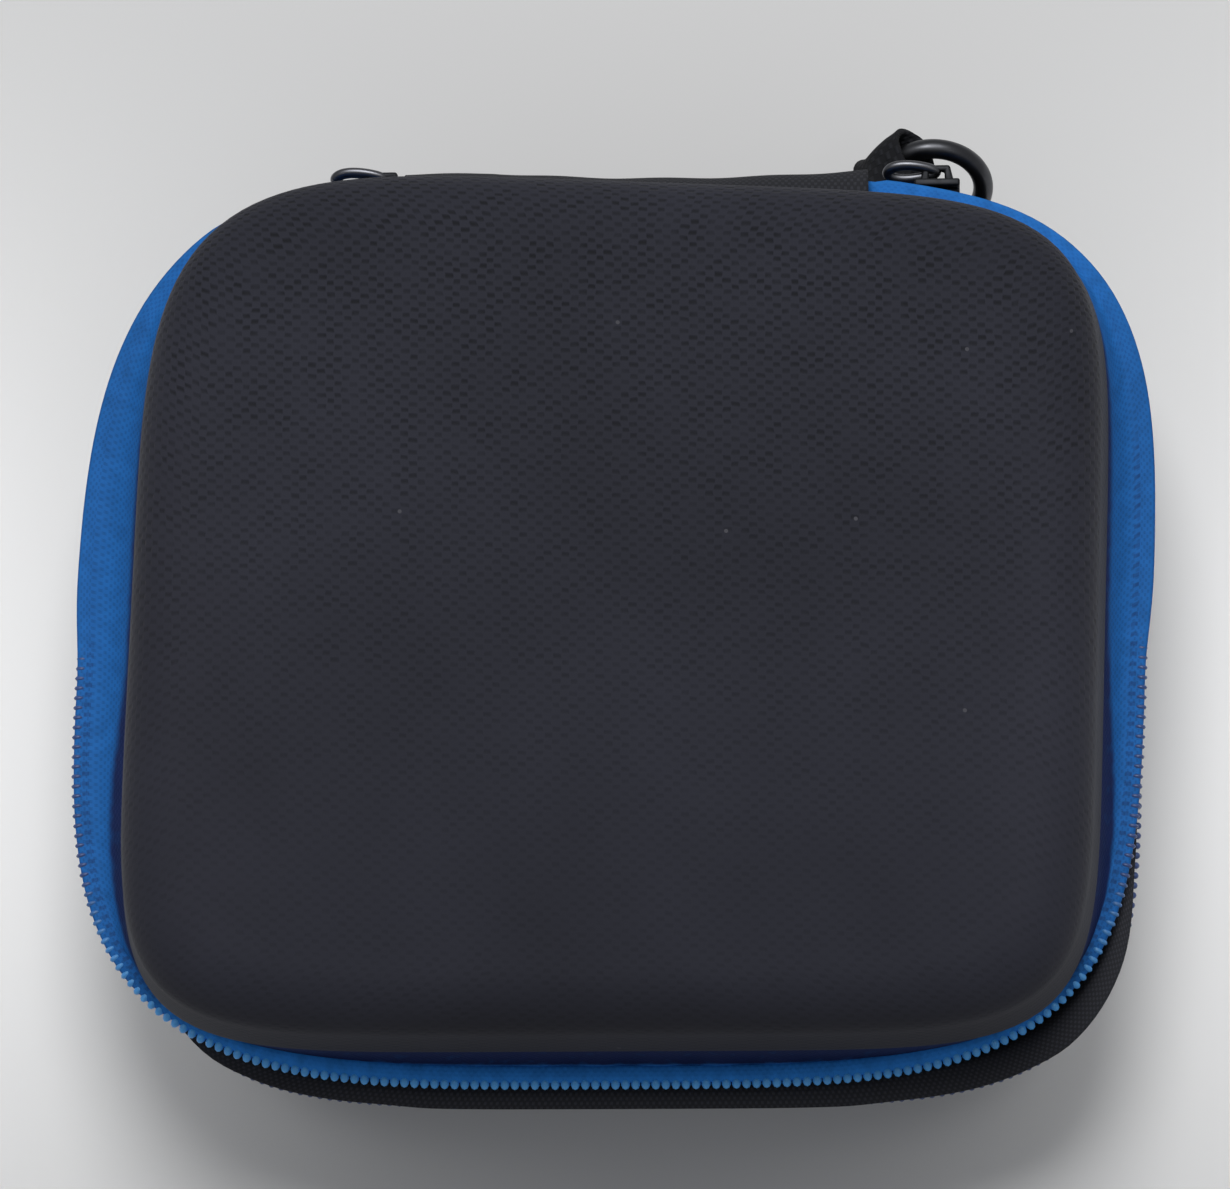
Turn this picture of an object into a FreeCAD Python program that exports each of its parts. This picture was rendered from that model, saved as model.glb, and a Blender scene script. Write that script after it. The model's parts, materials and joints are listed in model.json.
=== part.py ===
"""Hard carry case: two moulded shells, a coil zip round three sides and a cloth hinge on the fourth.

The case lies on its base. The origin is the middle of the base's underside, +X points right,
+Y points to the hinge and +Z goes up through the lid. All sizes are in millimetres.
"""
import FreeCAD, Part
import math
import os
import re

import Sketcher
from FreeCAD import Placement, Rotation, Vector

# Driving sizes: alias, value, meaning
SIZES = [
    ("shell_side", 72.0, "half width of both shells at their rims"),
    ("shell_end", 65.0, "half length of both shells at their rims"),
    ("shell_corner", 26.0, "corner radius of both shells at their rims"),
    ("shell_wall", 3.2, "moulded foam wall with its cloth face"),
    ("base_height", 30.0, "base shell, underside to rim"),
    ("base_inset", 3.0, "draft of the base, rim to underside"),
    ("base_edge", 7.0, "rounding of the base's lower edge"),
    ("lid_height", 21.0, "lid shell, rim to top face"),
    ("lid_inset", 2.5, "draft of the lid, rim to top face"),
    ("lid_edge", 8.0, "rounding of the lid's shoulder"),
    ("lining_wall", 0.8, "lining cloth"),
    ("layer_gap", 0.15, "room between cloth layers sewn together"),
    ("tape_wall", 1.1, "zip tape, measured level"),
    ("base_rise", 6.5, "base tape, rim to zip plane"),
    ("lid_rise", 6.0, "lid tape, zip plane to rim"),
    ("zip_gap", 0.6, "room between the two rows of teeth"),
    ("base_flare_side", 2.7, "base tape's edge, out from the shell's side"),
    ("base_flare_front", 6.2, "base tape's edge, out from the shell's front"),
    ("lid_flare_side", 7.8, "lid tape's edge, out from the shell's side"),
    ("lid_flare_front", 3.6, "lid tape's edge, out from the shell's front"),
    ("flare_back", 1.2, "both tapes' edges, out from the shells' back"),
    ("flare_corner", 7.0, "what both tapes' edges add to the corner radius"),
    ("coil_wide", 2.0, "row of teeth, outwards"),
    ("coil_high", 2.0, "row of teeth, upwards"),
    ("binding_wall", 1.0, "binding cloth inside each rim, measured level"),
    ("binding_rise", 5.0, "how far the binding covers the tape"),
    ("hinge_half", 35.0, "half length of the cloth hinge"),
    ("hinge_cloth", 1.1, "hinge cloth, measured level"),
    ("axis_reach", 4.0, "fold line, out from the shells' back"),
    ("fold_radius", 0.9, "outside radius of the hinge's fold"),
    ("hinge_clear", 0.4, "room at the fold and at the hinge's ends"),
    ("stitch_long", 2.4, "one stitch"),
    ("stitch_pitch", 4.0, "stitch spacing along the seam"),
    ("thread_wide", 0.5, "sewing thread"),
    ("stitch_rise", 1.4, "seam, from the rim along the tape's height"),
    ("slider_long", 7.0, "slider along the zip"),
    ("slider_high", 4.8, "slider across the zip"),
    ("slider_plate", 1.2, "slider's outer plate"),
    ("slider_lip", 1.2, "slider's lip under the teeth"),
    ("lip_reach", 1.9, "lip, in from the plate"),
    ("slider_clear", 0.3, "room between the slider and the teeth"),
    ("slider_drop", 0.2, "slider's top edge, below the zip plane"),
    ("slider_left_gap", 0.4, "left slider, out from the end of the zip"),
    ("slider_right_gap", 7.1, "right slider, out from the end of the zip"),
    ("bridge_long", 5.2, "foot of the bridge that holds the pull"),
    ("bridge_top", 4.0, "top of the bridge"),
    ("bridge_high", 1.6, "bridge across the zip"),
    ("bridge_out", 2.5, "bridge, out from the plate"),
    ("eye_long", 2.4, "opening under the bridge, along the zip"),
    ("eye_out", 1.6, "opening under the bridge, outwards"),
    ("pull_long", 8.2, "pull, bar to tip"),
    ("pull_wide", 4.4, "pull's width"),
    ("pull_thick", 0.9, "pull's thickness"),
    ("pull_bar", 1.0, "diameter of the bar in the bridge's eye"),
    ("pull_clear", 0.3, "room between the pull and the bridge"),
    ("pull_hole", 1.6, "width of the hole near the tip"),
    ("pull_rim", 1.4, "metal left round that hole at the tip"),
    ("ring_radius", 8.0, "ring, to the middle of its wire"),
    ("ring_wire", 3.1, "ring's wire"),
    ("ring_past", 10.4, "ring's middle, to the right of the hinge"),
    ("ring_out", 7.8, "ring's middle, out from the shells' back"),
    ("ring_drop", 11.5, "ring's middle, below the base's rim"),
    ("loop_wide", 8.0, "webbing loop, along the ring's wire"),
    ("loop_cloth", 0.9, "webbing thickness"),
    ("loop_clear", 1.75, "room round the wire inside the loop"),
    ("loop_long", 14.6, "webbing, ring's wire to its trimmed ends"),
    ("net_lift", 1.5, "net pocket, up from the lid's rim"),
    ("net_thick", 0.6, "net pocket's cloth"),
    ("net_edge", 14.0, "free edge of the net, back from the middle"),
    ("elastic_wide", 6.0, "elastic band on the net's free edge"),
    ("elastic_thick", 1.2, "elastic band's thickness"),
    ("overrun", 20.0, "how far cuts run past what they cut"),
]
# Angles of the ring as it leans on the base, and of the loop round it, in degrees
RING_LEAN = 55.0
LOOP_TURN = 52.0
LOOP_SLANT = 15.0
# Largest error between equal lengths
SAME = 1e-4

doc = FreeCAD.newDocument("carry_case")
sheet = doc.addObject("Spreadsheet::Sheet", "Sizes")
for row, (alias, number, meaning) in enumerate(SIZES, start=1):
    sheet.set(f"A{row}", meaning)
    sheet.set(f"B{row}", str(number))
    sheet.setAlias(f"B{row}", alias)
doc.recompute()

# Heights that follow from the sizes
ZIP_TOP = "(base_height + base_rise)"
AXIS_Y = "(shell_end + axis_reach)"
AXIS_Z = f"({ZIP_TOP} + zip_gap / 2)"
LID_ZIP = f"({ZIP_TOP} + zip_gap)"
LID_RIM = f"({LID_ZIP} + lid_rise)"
LID_TOP = f"({LID_RIM} + lid_height)"
SLIDER_TOP = f"({ZIP_TOP} - slider_drop)"
SLIDER_MID = f"({SLIDER_TOP} - slider_high / 2)"
PLATE_IN = "(shell_end + flare_back + layer_gap + coil_wide + slider_clear)"
PLATE_OUT = f"({PLATE_IN} + slider_plate)"
PIVOT_Y = f"({PLATE_OUT} + eye_out / 2)"
ZIP_END = "(hinge_half + hinge_clear)"
SLIDER_X = {
    "left": f"(0 - {ZIP_END} - slider_left_gap - slider_long / 2)",
    "right": f"({ZIP_END} + slider_right_gap + slider_long / 2)",
}


def bind(formula):
    """Turn size names in a formula into references to the sheet."""
    return re.sub(r"\b([a-z]+(?:_[a-z]+)+|overrun)\b", r"Sizes.\1", formula)


def value(formula):
    """Number that a formula of size names gives."""
    return float(sheet.evalExpression(bind(formula)))


def new_body(label):
    body = doc.addObject("PartDesign::Body", label)
    body.Label = label
    return body


def new_sketch(body, name, role, height="0"):
    """Sketch on one of the body's own planes, moved along the plane's normal."""
    sketch = body.newObject("Sketcher::SketchObject", f"{body.Name}_{name}")
    plane = [item for item in body.Origin.OriginFeatures if item.Role == role][0]
    sketch.AttachmentSupport = (plane, [""])
    sketch.MapMode = "FlatFace"
    sketch.setExpression("AttachmentOffset.Base.z", bind(height))
    return sketch


def name_constraint(sketch, index, name, formula):
    sketch.renameConstraint(index, name)
    sketch.setExpression(f"Constraints.{name}", bind(formula))


def outline(body, name, height, side, front, back, corner):
    """Rounded rectangle at a height, side to side and from the front to the back."""
    sketch = new_sketch(body, name, "XY_Plane", height)
    wide, near, far, radius = (value(formula) for formula in (side, front, back, corner))
    right = wide - radius
    low = radius - near
    high = far - radius
    normal = Vector(0, 0, 1)
    lines = [
        ((-right, -near), (right, -near)),
        ((wide, low), (wide, high)),
        ((right, far), (-right, far)),
        ((-wide, high), (-wide, low)),
    ]
    for start, end in lines:
        sketch.addGeometry(Part.LineSegment(Vector(*start), Vector(*end)), False)
    centres = [(right, low), (right, high), (-right, high), (-right, low)]
    for quarter, centre in enumerate(centres):
        round_corner = Part.Circle(Vector(*centre), normal, radius)
        start = (quarter - 1) * math.pi / 2
        sketch.addGeometry(Part.ArcOfCircle(round_corner, start, start + math.pi / 2), False)
    for side_index in range(4):
        arc = 4 + side_index
        following = (side_index + 1) % 4
        sketch.addConstraint(Sketcher.Constraint("Tangent", side_index, 2, arc, 1))
        sketch.addConstraint(Sketcher.Constraint("Tangent", arc, 2, following, 1))
        sketch.addConstraint(Sketcher.Constraint(("Horizontal", "Vertical")[side_index % 2], side_index))
    for arc in (5, 6, 7):
        sketch.addConstraint(Sketcher.Constraint("Equal", 4, arc))
    driven = [
        ("corner", corner, Sketcher.Constraint("Radius", 4, radius)),
        ("right", side, Sketcher.Constraint("DistanceX", -1, 1, 1, 1, wide)),
        ("left", side, Sketcher.Constraint("DistanceX", 3, 1, -1, 1, wide)),
        ("front", front, Sketcher.Constraint("DistanceY", 0, 1, -1, 1, near)),
        ("back", back, Sketcher.Constraint("DistanceY", -1, 1, 2, 1, far)),
    ]
    for label, formula, constraint in driven:
        name_constraint(sketch, sketch.addConstraint(constraint), label, formula)
    return sketch


def polygon(body, name, role, height, points):
    """Closed polygon whose corners are pairs of formulas."""
    sketch = new_sketch(body, name, role, height)
    corners = [Vector(value(across), value(along)) for across, along in points]
    count = len(corners)
    for index in range(count):
        sketch.addGeometry(Part.LineSegment(corners[index], corners[(index + 1) % count]), False)
    for index in range(count):
        following = (index + 1) % count
        sketch.addConstraint(Sketcher.Constraint("Coincident", index, 2, following, 1))
    for index, (across, along) in enumerate(points):
        for kind, label, formula in (("DistanceX", "x", across), ("DistanceY", "y", along)):
            constraint = Sketcher.Constraint(kind, -1, 1, index, 1, value(formula))
            name_constraint(sketch, sketch.addConstraint(constraint), f"{label}{index}", formula)
    return sketch


def rectangle(body, name, role, height, left, right, low, high):
    return polygon(body, name, role, height, [(left, low), (right, low), (right, high), (left, high)])


def circle(body, name, role, height, across, along, radius):
    sketch = new_sketch(body, name, role, height)
    centre = Vector(value(across), value(along))
    sketch.addGeometry(Part.Circle(centre, Vector(0, 0, 1), value(radius)), False)
    driven = [
        ("radius", radius, Sketcher.Constraint("Radius", 0, value(radius))),
        ("across", across, Sketcher.Constraint("DistanceX", -1, 1, 0, 3, value(across))),
        ("along", along, Sketcher.Constraint("DistanceY", -1, 1, 0, 3, value(along))),
    ]
    for label, formula, constraint in driven:
        name_constraint(sketch, sketch.addConstraint(constraint), label, formula)
    return sketch


def loft(body, name, kind, sketches):
    """Straight-sided loft between two level sketches, taken from the upper one down."""
    doc.recompute()
    lower, upper = sorted(sketches, key=lambda sketch: sketch.AttachmentOffset.Base.z)
    feature = body.newObject(f"PartDesign::{kind}", f"{body.Name}_{name}")
    feature.Profile = upper
    feature.Sections = [lower]
    feature.Ruled = True
    doc.recompute()
    return feature


def pad(body, name, sketch, length, symmetric=False):
    feature = body.newObject("PartDesign::Pad", f"{body.Name}_{name}")
    feature.Profile = sketch
    feature.setExpression("Length", bind(length))
    feature.Midplane = symmetric
    doc.recompute()
    return feature


def pocket(body, name, sketch, depth):
    """Cut down from the sketch, and make sure that it removed something."""
    before = body.Shape.Volume
    feature = body.newObject("PartDesign::Pocket", f"{body.Name}_{name}")
    feature.Profile = sketch
    feature.setExpression("Length", bind(depth))
    doc.recompute()
    if body.Shape.Volume >= before:
        raise RuntimeError(f"{body.Label}: {name} cut nothing")
    return feature


def round_level_edges(body, name, height, radius):
    """Round every edge that lies level at a height."""
    level = value(height)
    solid = body.Tip
    names = []
    for index, edge in enumerate(body.Shape.Edges, start=1):
        heights = [edge.CenterOfMass.z] + [vertex.Z for vertex in edge.Vertexes]
        if all(abs(height_here - level) < SAME for height_here in heights):
            names.append(f"Edge{index}")
    feature = body.newObject("PartDesign::Fillet", f"{body.Name}_{name}")
    feature.Base = (solid, names)
    feature.setExpression("Radius", bind(radius))
    doc.recompute()
    return feature


def rounded_block(label, rim, far, into, inwards, inset, edge):
    """Solid block with a rounded far edge, set in from the shells' outer face on every side."""
    body = new_body(label)
    far_level = f"({far} - {into} * {inwards})"
    sketches = []
    for name, height, shrink in (("rim", rim, inwards), ("far", far_level, f"({inwards} + {inset})")):
        side, end, corner = (f"{size} - {shrink}" for size in ("shell_side", "shell_end", "shell_corner"))
        sketches.append(outline(body, name, height, side, end, end, corner))
    loft(body, "block", "AdditiveLoft", sketches)
    round_level_edges(body, "edge", far_level, f"{edge} - {inwards}")
    return body


def cup(label, rim, far, into, inwards, wall, inset, edge):
    """Open cup: shell or lining. `into` is +1 where the far face lies above the rim, else -1."""
    hollow = f"({inwards} + {wall})"
    piece = doc.addObject("Part::Cut", label)
    piece.Base = rounded_block(f"{label}_outside", rim, far, into, inwards, inset, edge)
    piece.Tool = rounded_block(f"{label}_inside", rim, far, into, hollow, inset, edge)
    doc.recompute()
    return piece


def zip_outline(body, name, height, half, share, inwards):
    """Tape's level outline between the shell's rim (share 0) and the zip plane (share 1)."""
    def between(shell_size, flare):
        return f"{shell_size} + {flare} * {share} - {inwards}"

    return outline(
        body, name, height,
        between("shell_side", f"{half}_flare_side"),
        between("shell_end", f"{half}_flare_front"),
        between("shell_end", "flare_back"),
        between("shell_corner", "flare_corner"),
    )


def cut_hinge_gap(body, top, depth):
    """Leave room for the cloth hinge at the back."""
    gap = rectangle(body, "gap", "XY_Plane", top, f"-{ZIP_END}", ZIP_END, "0", "shell_end + overrun")
    pocket(body, "hinge_gap", gap, depth)


def sloping_band(label, half, rim, lip, share, inwards, wall):
    """Band of cloth that slopes out from a shell's rim: tape or binding."""
    body = new_body(label)
    rim_out = zip_outline(body, "rim_out", rim, half, "0", inwards)
    lip_out = zip_outline(body, "lip_out", lip, half, share, inwards)
    loft(body, "outside", "AdditiveLoft", [rim_out, lip_out])
    rim_in = zip_outline(body, "rim_in", rim, half, "0", f"({inwards} + {wall})")
    lip_in = zip_outline(body, "lip_in", lip, half, share, f"({inwards} + {wall})")
    loft(body, "inside", "SubtractiveLoft", [rim_in, lip_in])
    return body


def zip_coil(label, half, top):
    """Row of teeth along a tape's edge."""
    body = new_body(label)
    outside = zip_outline(body, "outside", f"({top} - coil_high)", half, "1", "(0 - layer_gap - coil_wide)")
    pad(body, "row", outside, "coil_high")
    inside = zip_outline(body, "inside", top, half, "1", "(0 - layer_gap)")
    pocket(body, "middle", inside, "coil_high + overrun")
    cut_hinge_gap(body, top, "coil_high + overrun")
    return body


def hinge_base_panel():
    """Lower half of the hinge cloth, with the fold on the hinge line."""
    body = new_body("hinge_base_panel")
    strip = polygon(body, "strip", "YZ_Plane", "0", [
        ("shell_end", "base_height"),
        (AXIS_Y, f"{AXIS_Z} - fold_radius"),
        (f"{AXIS_Y} - fold_radius", AXIS_Z),
        ("shell_end - hinge_cloth", "base_height"),
    ])
    pad(body, "cloth", strip, "2 * hinge_half", symmetric=True)
    fold = circle(body, "fold", "YZ_Plane", "0", AXIS_Y, AXIS_Z, "fold_radius")
    pad(body, "fold_pad", fold, "2 * hinge_half", symmetric=True)
    return body


def hinge_lid_panel():
    """Upper half of the hinge cloth, ending just clear of the fold."""
    body = new_body("hinge_lid_panel")
    strip = polygon(body, "strip", "YZ_Plane", "0", [
        ("shell_end", LID_RIM),
        ("shell_end - hinge_cloth", LID_RIM),
        (f"{AXIS_Y} - fold_radius - hinge_clear", f"{AXIS_Z} + hinge_clear"),
        (f"{AXIS_Y} - hinge_clear", f"{AXIS_Z} + fold_radius + hinge_clear"),
    ])
    pad(body, "cloth", strip, "2 * hinge_half", symmetric=True)
    return body


def slider(label, middle):
    """Zip slider: outer plate, lip under the teeth and the bridge that holds the pull."""
    body = new_body(label)
    lip_top = f"({ZIP_TOP} - coil_high - slider_clear)"
    profile = polygon(body, "profile", "YZ_Plane", middle, [
        (PLATE_OUT, f"{SLIDER_TOP} - slider_high"),
        (PLATE_OUT, SLIDER_TOP),
        (PLATE_IN, SLIDER_TOP),
        (PLATE_IN, lip_top),
        (f"{PLATE_IN} - lip_reach", lip_top),
        (f"{PLATE_IN} - lip_reach", f"{lip_top} - slider_lip"),
        (PLATE_IN, f"{lip_top} - slider_lip"),
        (PLATE_IN, f"{SLIDER_TOP} - slider_high"),
    ])
    pad(body, "plate", profile, "slider_long", symmetric=True)
    arch = polygon(body, "arch", "XY_Plane", SLIDER_MID, [
        (f"{middle} - bridge_long / 2", PLATE_OUT),
        (f"{middle} - eye_long / 2", PLATE_OUT),
        (f"{middle} - eye_long / 2", f"{PLATE_OUT} + eye_out"),
        (f"{middle} + eye_long / 2", f"{PLATE_OUT} + eye_out"),
        (f"{middle} + eye_long / 2", PLATE_OUT),
        (f"{middle} + bridge_long / 2", PLATE_OUT),
        (f"{middle} + bridge_top / 2", f"{PLATE_OUT} + bridge_out"),
        (f"{middle} - bridge_top / 2", f"{PLATE_OUT} + bridge_out"),
    ])
    pad(body, "bridge", arch, "bridge_high", symmetric=True)
    return body


def pull(label, middle):
    """Flat pull: a bar in the bridge's eye, two arms past the bridge and a blade with a hole."""
    body = new_body(label)
    half_wide = "pull_wide / 2"
    blade_start = f"({middle} - bridge_long / 2 - pull_clear)"
    arm_in = "(bridge_high / 2 + pull_clear)"
    tip = f"({middle} - pull_long)"
    shoulder = f"({tip} + pull_wide / 4)"
    blade = polygon(body, "blade", "XZ_Plane", f"-{PIVOT_Y}", [
        (middle, f"{SLIDER_MID} - {half_wide}"),
        (middle, f"{SLIDER_MID} - {arm_in}"),
        (blade_start, f"{SLIDER_MID} - {arm_in}"),
        (blade_start, f"{SLIDER_MID} + {arm_in}"),
        (middle, f"{SLIDER_MID} + {arm_in}"),
        (middle, f"{SLIDER_MID} + {half_wide}"),
        (shoulder, f"{SLIDER_MID} + {half_wide}"),
        (tip, f"{SLIDER_MID} + pull_wide / 4"),
        (tip, f"{SLIDER_MID} - pull_wide / 4"),
        (shoulder, f"{SLIDER_MID} - {half_wide}"),
    ])
    pad(body, "blade_pad", blade, "pull_thick", symmetric=True)
    bar = circle(body, "bar", "XY_Plane", SLIDER_MID, middle, PIVOT_Y, "pull_bar / 2")
    pad(body, "bar_pad", bar, "pull_wide", symmetric=True)
    hole = rectangle(
        body, "hole", "XZ_Plane", f"-({PIVOT_Y} - pull_thick)",
        f"{tip} + pull_rim", f"{blade_start} - pull_rim",
        f"{SLIDER_MID} - pull_hole / 2", f"{SLIDER_MID} + pull_hole / 2",
    )
    pocket(body, "hole_cut", hole, "2 * pull_thick")
    return body


def ring_frame():
    """Ring's middle, the direction up its slope, and the ring's own normal."""
    centre = Vector(value("hinge_half + ring_past"), value("shell_end + ring_out"), value("base_height - ring_drop"))
    lean = math.radians(RING_LEAN)
    slope = Vector(0, math.cos(lean), math.sin(lean))
    normal = Vector(1, 0, 0).cross(slope)
    return centre, slope, normal


def loop_frame():
    """Where the wire passes through the webbing: point, legs' direction and wire's direction."""
    centre, slope, normal = ring_frame()
    turn = math.radians(LOOP_TURN)
    right = Vector(1, 0, 0)
    outwards = slope * math.cos(turn) - right * math.sin(turn)
    along = right * math.cos(turn) + slope * math.sin(turn)
    slant = math.radians(LOOP_SLANT)
    legs = normal * math.cos(slant) - outwards * math.sin(slant)
    return centre + outwards * value("ring_radius"), legs, along


def carry_ring():
    centre, slope, normal = ring_frame()
    ring = doc.addObject("Part::Torus", "carry_ring")
    ring.setExpression("Radius1", bind("ring_radius"))
    ring.setExpression("Radius2", bind("ring_wire / 2"))
    ring.Placement = Placement(centre, Rotation(Vector(0, 0, 1), normal))
    return ring


def ring_loop(block):
    """Webbing folded round the ring's wire, its two ends trimmed to the base's back."""
    band = new_body("loop_band")
    inside = "(ring_wire / 2 + loop_clear)"
    outside = f"({inside} + loop_cloth)"
    legs_out = polygon(band, "legs_out", "XY_Plane", "0", [
        ("0", f"-{outside}"),
        ("loop_long", "-loop_cloth"),
        ("loop_long", "loop_cloth"),
        ("0", outside),
    ])
    pad(band, "legs", legs_out, "loop_wide", symmetric=True)
    fold_out = circle(band, "fold_out", "XY_Plane", "0", "0", "0", outside)
    pad(band, "fold", fold_out, "loop_wide", symmetric=True)
    fold_in = circle(band, "fold_in", "XY_Plane", "loop_wide", "0", "0", inside)
    pocket(band, "eye", fold_in, "2 * loop_wide")
    legs_in = polygon(band, "legs_in", "XY_Plane", "loop_wide", [
        ("0", f"-{inside}"),
        ("loop_long / 2", "0"),
        ("0", inside),
    ])
    pocket(band, "eye_point", legs_in, "2 * loop_wide")
    point, legs, along = loop_frame()
    band.Placement = Placement(point, Rotation(legs, along.cross(legs), along, "ZXY"))
    trim = new_body("loop_trim")
    trim_rim = zip_outline(trim, "rim", "base_height", "base", "0", "0")
    trim_lip = zip_outline(trim, "lip", ZIP_TOP, "base", "1", "0")
    loft(trim, "block", "AdditiveLoft", [trim_rim, trim_lip])
    seam = doc.addObject("Part::Fuse", "loop_seam")
    seam.Base = block
    seam.Tool = trim
    loop = doc.addObject("Part::Cut", "ring_loop")
    loop.Base = band
    loop.Tool = seam
    doc.recompute()
    return loop


def outline_wire(height, side, front, back, corner):
    """Level rounded rectangle as a wire, from the left end of its front edge."""
    right, low, high = side - corner, corner - front, back - corner
    dip = corner * math.sqrt(0.5)
    points = [Vector(*point, height) for point in (
        (-right, -front), (right, -front), (side, low), (side, high),
        (right, back), (-right, back), (-side, high), (-side, low),
    )]
    middles = [Vector(*point, height) for point in (
        (right + dip, low - dip), (right + dip, high + dip),
        (-right - dip, high + dip), (-right - dip, low - dip),
    )]
    edges = []
    for index in range(4):
        start, end = points[2 * index], points[2 * index + 1]
        following = points[(2 * index + 2) % 8]
        edges.append(Part.makeLine(start, end))
        edges.append(Part.Arc(end, middles[index], following).toShape())
    return Part.Wire(edges)


def stitching(label, half, rim, up):
    """Thread along the seam that holds a tape to its shell: one short bar for each stitch."""
    share = value(f"stitch_rise / {half}_rise")
    thread = value("thread_wide")

    def reach(shell_size, flare):
        return value(shell_size) + value(flare) * share + thread + value("layer_gap")

    wire = outline_wire(
        value(rim) - up * value("stitch_rise"),
        reach("shell_side", f"{half}_flare_side"), reach("shell_end", f"{half}_flare_front"),
        reach("shell_end", "flare_back"), reach("shell_corner", "flare_corner"),
    )
    stitches = []
    spots = wire.discretize(Number=int(wire.Length / value("stitch_pitch")) + 1)
    for spot, following in zip(spots, spots[1:]):
        if spot.y > 0 and abs(spot.x) < value("hinge_half + slider_long + pull_long"):
            continue
        bar = Part.makeCylinder(thread / 2, value("stitch_long"), spot, following - spot)
        stitches.append(bar)
    feature = doc.addObject("Part::Feature", label)
    feature.Shape = Part.makeCompound(stitches)
    feature.Placement = Placement()
    return feature


def lid_pocket_net():
    body = new_body("lid_pocket_net")
    inwards = "(shell_wall + lining_wall + 2 * layer_gap + lid_inset * net_lift / lid_height + layer_gap)"
    low = f"({LID_RIM} + net_lift)"
    sheet_outline = outline(
        body, "sheet", low, f"shell_side - {inwards}", f"shell_end - {inwards}", f"shell_end - {inwards}",
        f"shell_corner - {inwards}",
    )
    pad(body, "net", sheet_outline, "net_thick")
    free = rectangle(
        body, "free", "XY_Plane", f"({low} + net_thick)",
        "-shell_side", "shell_side", "net_edge", "shell_end + overrun",
    )
    pocket(body, "free_edge", free, "net_thick + overrun")
    return body


def lid_pocket_elastic():
    band = doc.addObject("Part::Box", "lid_pocket_elastic")
    inwards = "(shell_wall + lining_wall + 3 * layer_gap + lid_inset * net_lift / lid_height)"
    band.setExpression("Length", bind(f"2 * (shell_side - {inwards})"))
    band.setExpression("Width", bind("elastic_wide"))
    band.setExpression("Height", bind("elastic_thick"))
    band.setExpression("Placement.Base.x", bind(f"{inwards} - shell_side"))
    band.setExpression("Placement.Base.y", bind("net_edge"))
    band.setExpression("Placement.Base.z", bind(f"{LID_RIM} + net_lift + net_thick / 2 - elastic_thick / 2"))
    return band


def main():
    lining_offset = "(shell_wall + layer_gap)"
    binding_inwards = "(tape_wall + layer_gap)"
    base_shell = cup("base_shell", "base_height", "0", -1, "0", "shell_wall", "base_inset", "base_edge")
    base_tape = sloping_band("base_zip_tape", "base", "base_height", ZIP_TOP, "1", "0", "tape_wall")
    cut_hinge_gap(base_tape, ZIP_TOP, "base_rise + overrun")
    lid_tape = sloping_band("lid_zip_tape", "lid", LID_RIM, LID_ZIP, "1", "0", "tape_wall")
    cut_hinge_gap(lid_tape, LID_RIM, "lid_rise + overrun")
    pieces = [
        base_shell,
        base_tape,
        lid_tape,
        cup("lid_shell", LID_RIM, LID_TOP, 1, "0", "shell_wall", "lid_inset", "lid_edge"),
        cup("base_lining", "base_height", "0", -1, lining_offset, "lining_wall", "base_inset", "base_edge"),
        cup("lid_lining", LID_RIM, LID_TOP, 1, lining_offset, "lining_wall", "lid_inset", "lid_edge"),
        sloping_band("base_binding", "base", "base_height", "(base_height + binding_rise)",
                     "binding_rise / base_rise", binding_inwards, "binding_wall"),
        sloping_band("lid_binding", "lid", LID_RIM, f"({LID_RIM} - binding_rise)",
                     "binding_rise / lid_rise", binding_inwards, "binding_wall"),
        zip_coil("base_zip_coil", "base", ZIP_TOP),
        zip_coil("lid_zip_coil", "lid", f"({LID_ZIP} + coil_high)"),
        hinge_base_panel(),
        hinge_lid_panel(),
        stitching("base_stitching", "base", "base_height", -1),
        stitching("lid_stitching", "lid", LID_RIM, 1),
        carry_ring(),
        ring_loop(base_shell.Base),
        lid_pocket_net(),
        lid_pocket_elastic(),
    ]
    for hand in ("left", "right"):
        pieces.append(slider(f"slider_{hand}", SLIDER_X[hand]))
        pieces.append(pull(f"pull_{hand}", SLIDER_X[hand]))
    doc.recompute()
    for item in doc.Objects:
        if "Invalid" in item.State or "Error" in item.State:
            raise RuntimeError(f"{item.Label} failed: {item.State}")
    for piece in pieces:
        if piece.Shape.isNull() or not piece.Shape.isValid():
            raise RuntimeError(f"{piece.Label} has no valid shape")
    os.makedirs("parts", exist_ok=True)
    for piece in pieces:
        piece.Shape.exportStep(os.path.join("parts", f"{piece.Label}.step"))
        print(piece.Label, len(piece.Shape.Solids), round(piece.Shape.Volume, 1))


main()
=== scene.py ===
"""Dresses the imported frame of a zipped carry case: cloth shells, coil zip, cloth hinge, ring and stage."""
import json
from functools import partial
from math import cos, hypot, pi, radians, sin, sqrt

import bmesh
import bpy
import numpy as np
from bpy.props import FloatProperty, FloatVectorProperty, PointerProperty
from mathutils import Matrix, Vector


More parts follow.
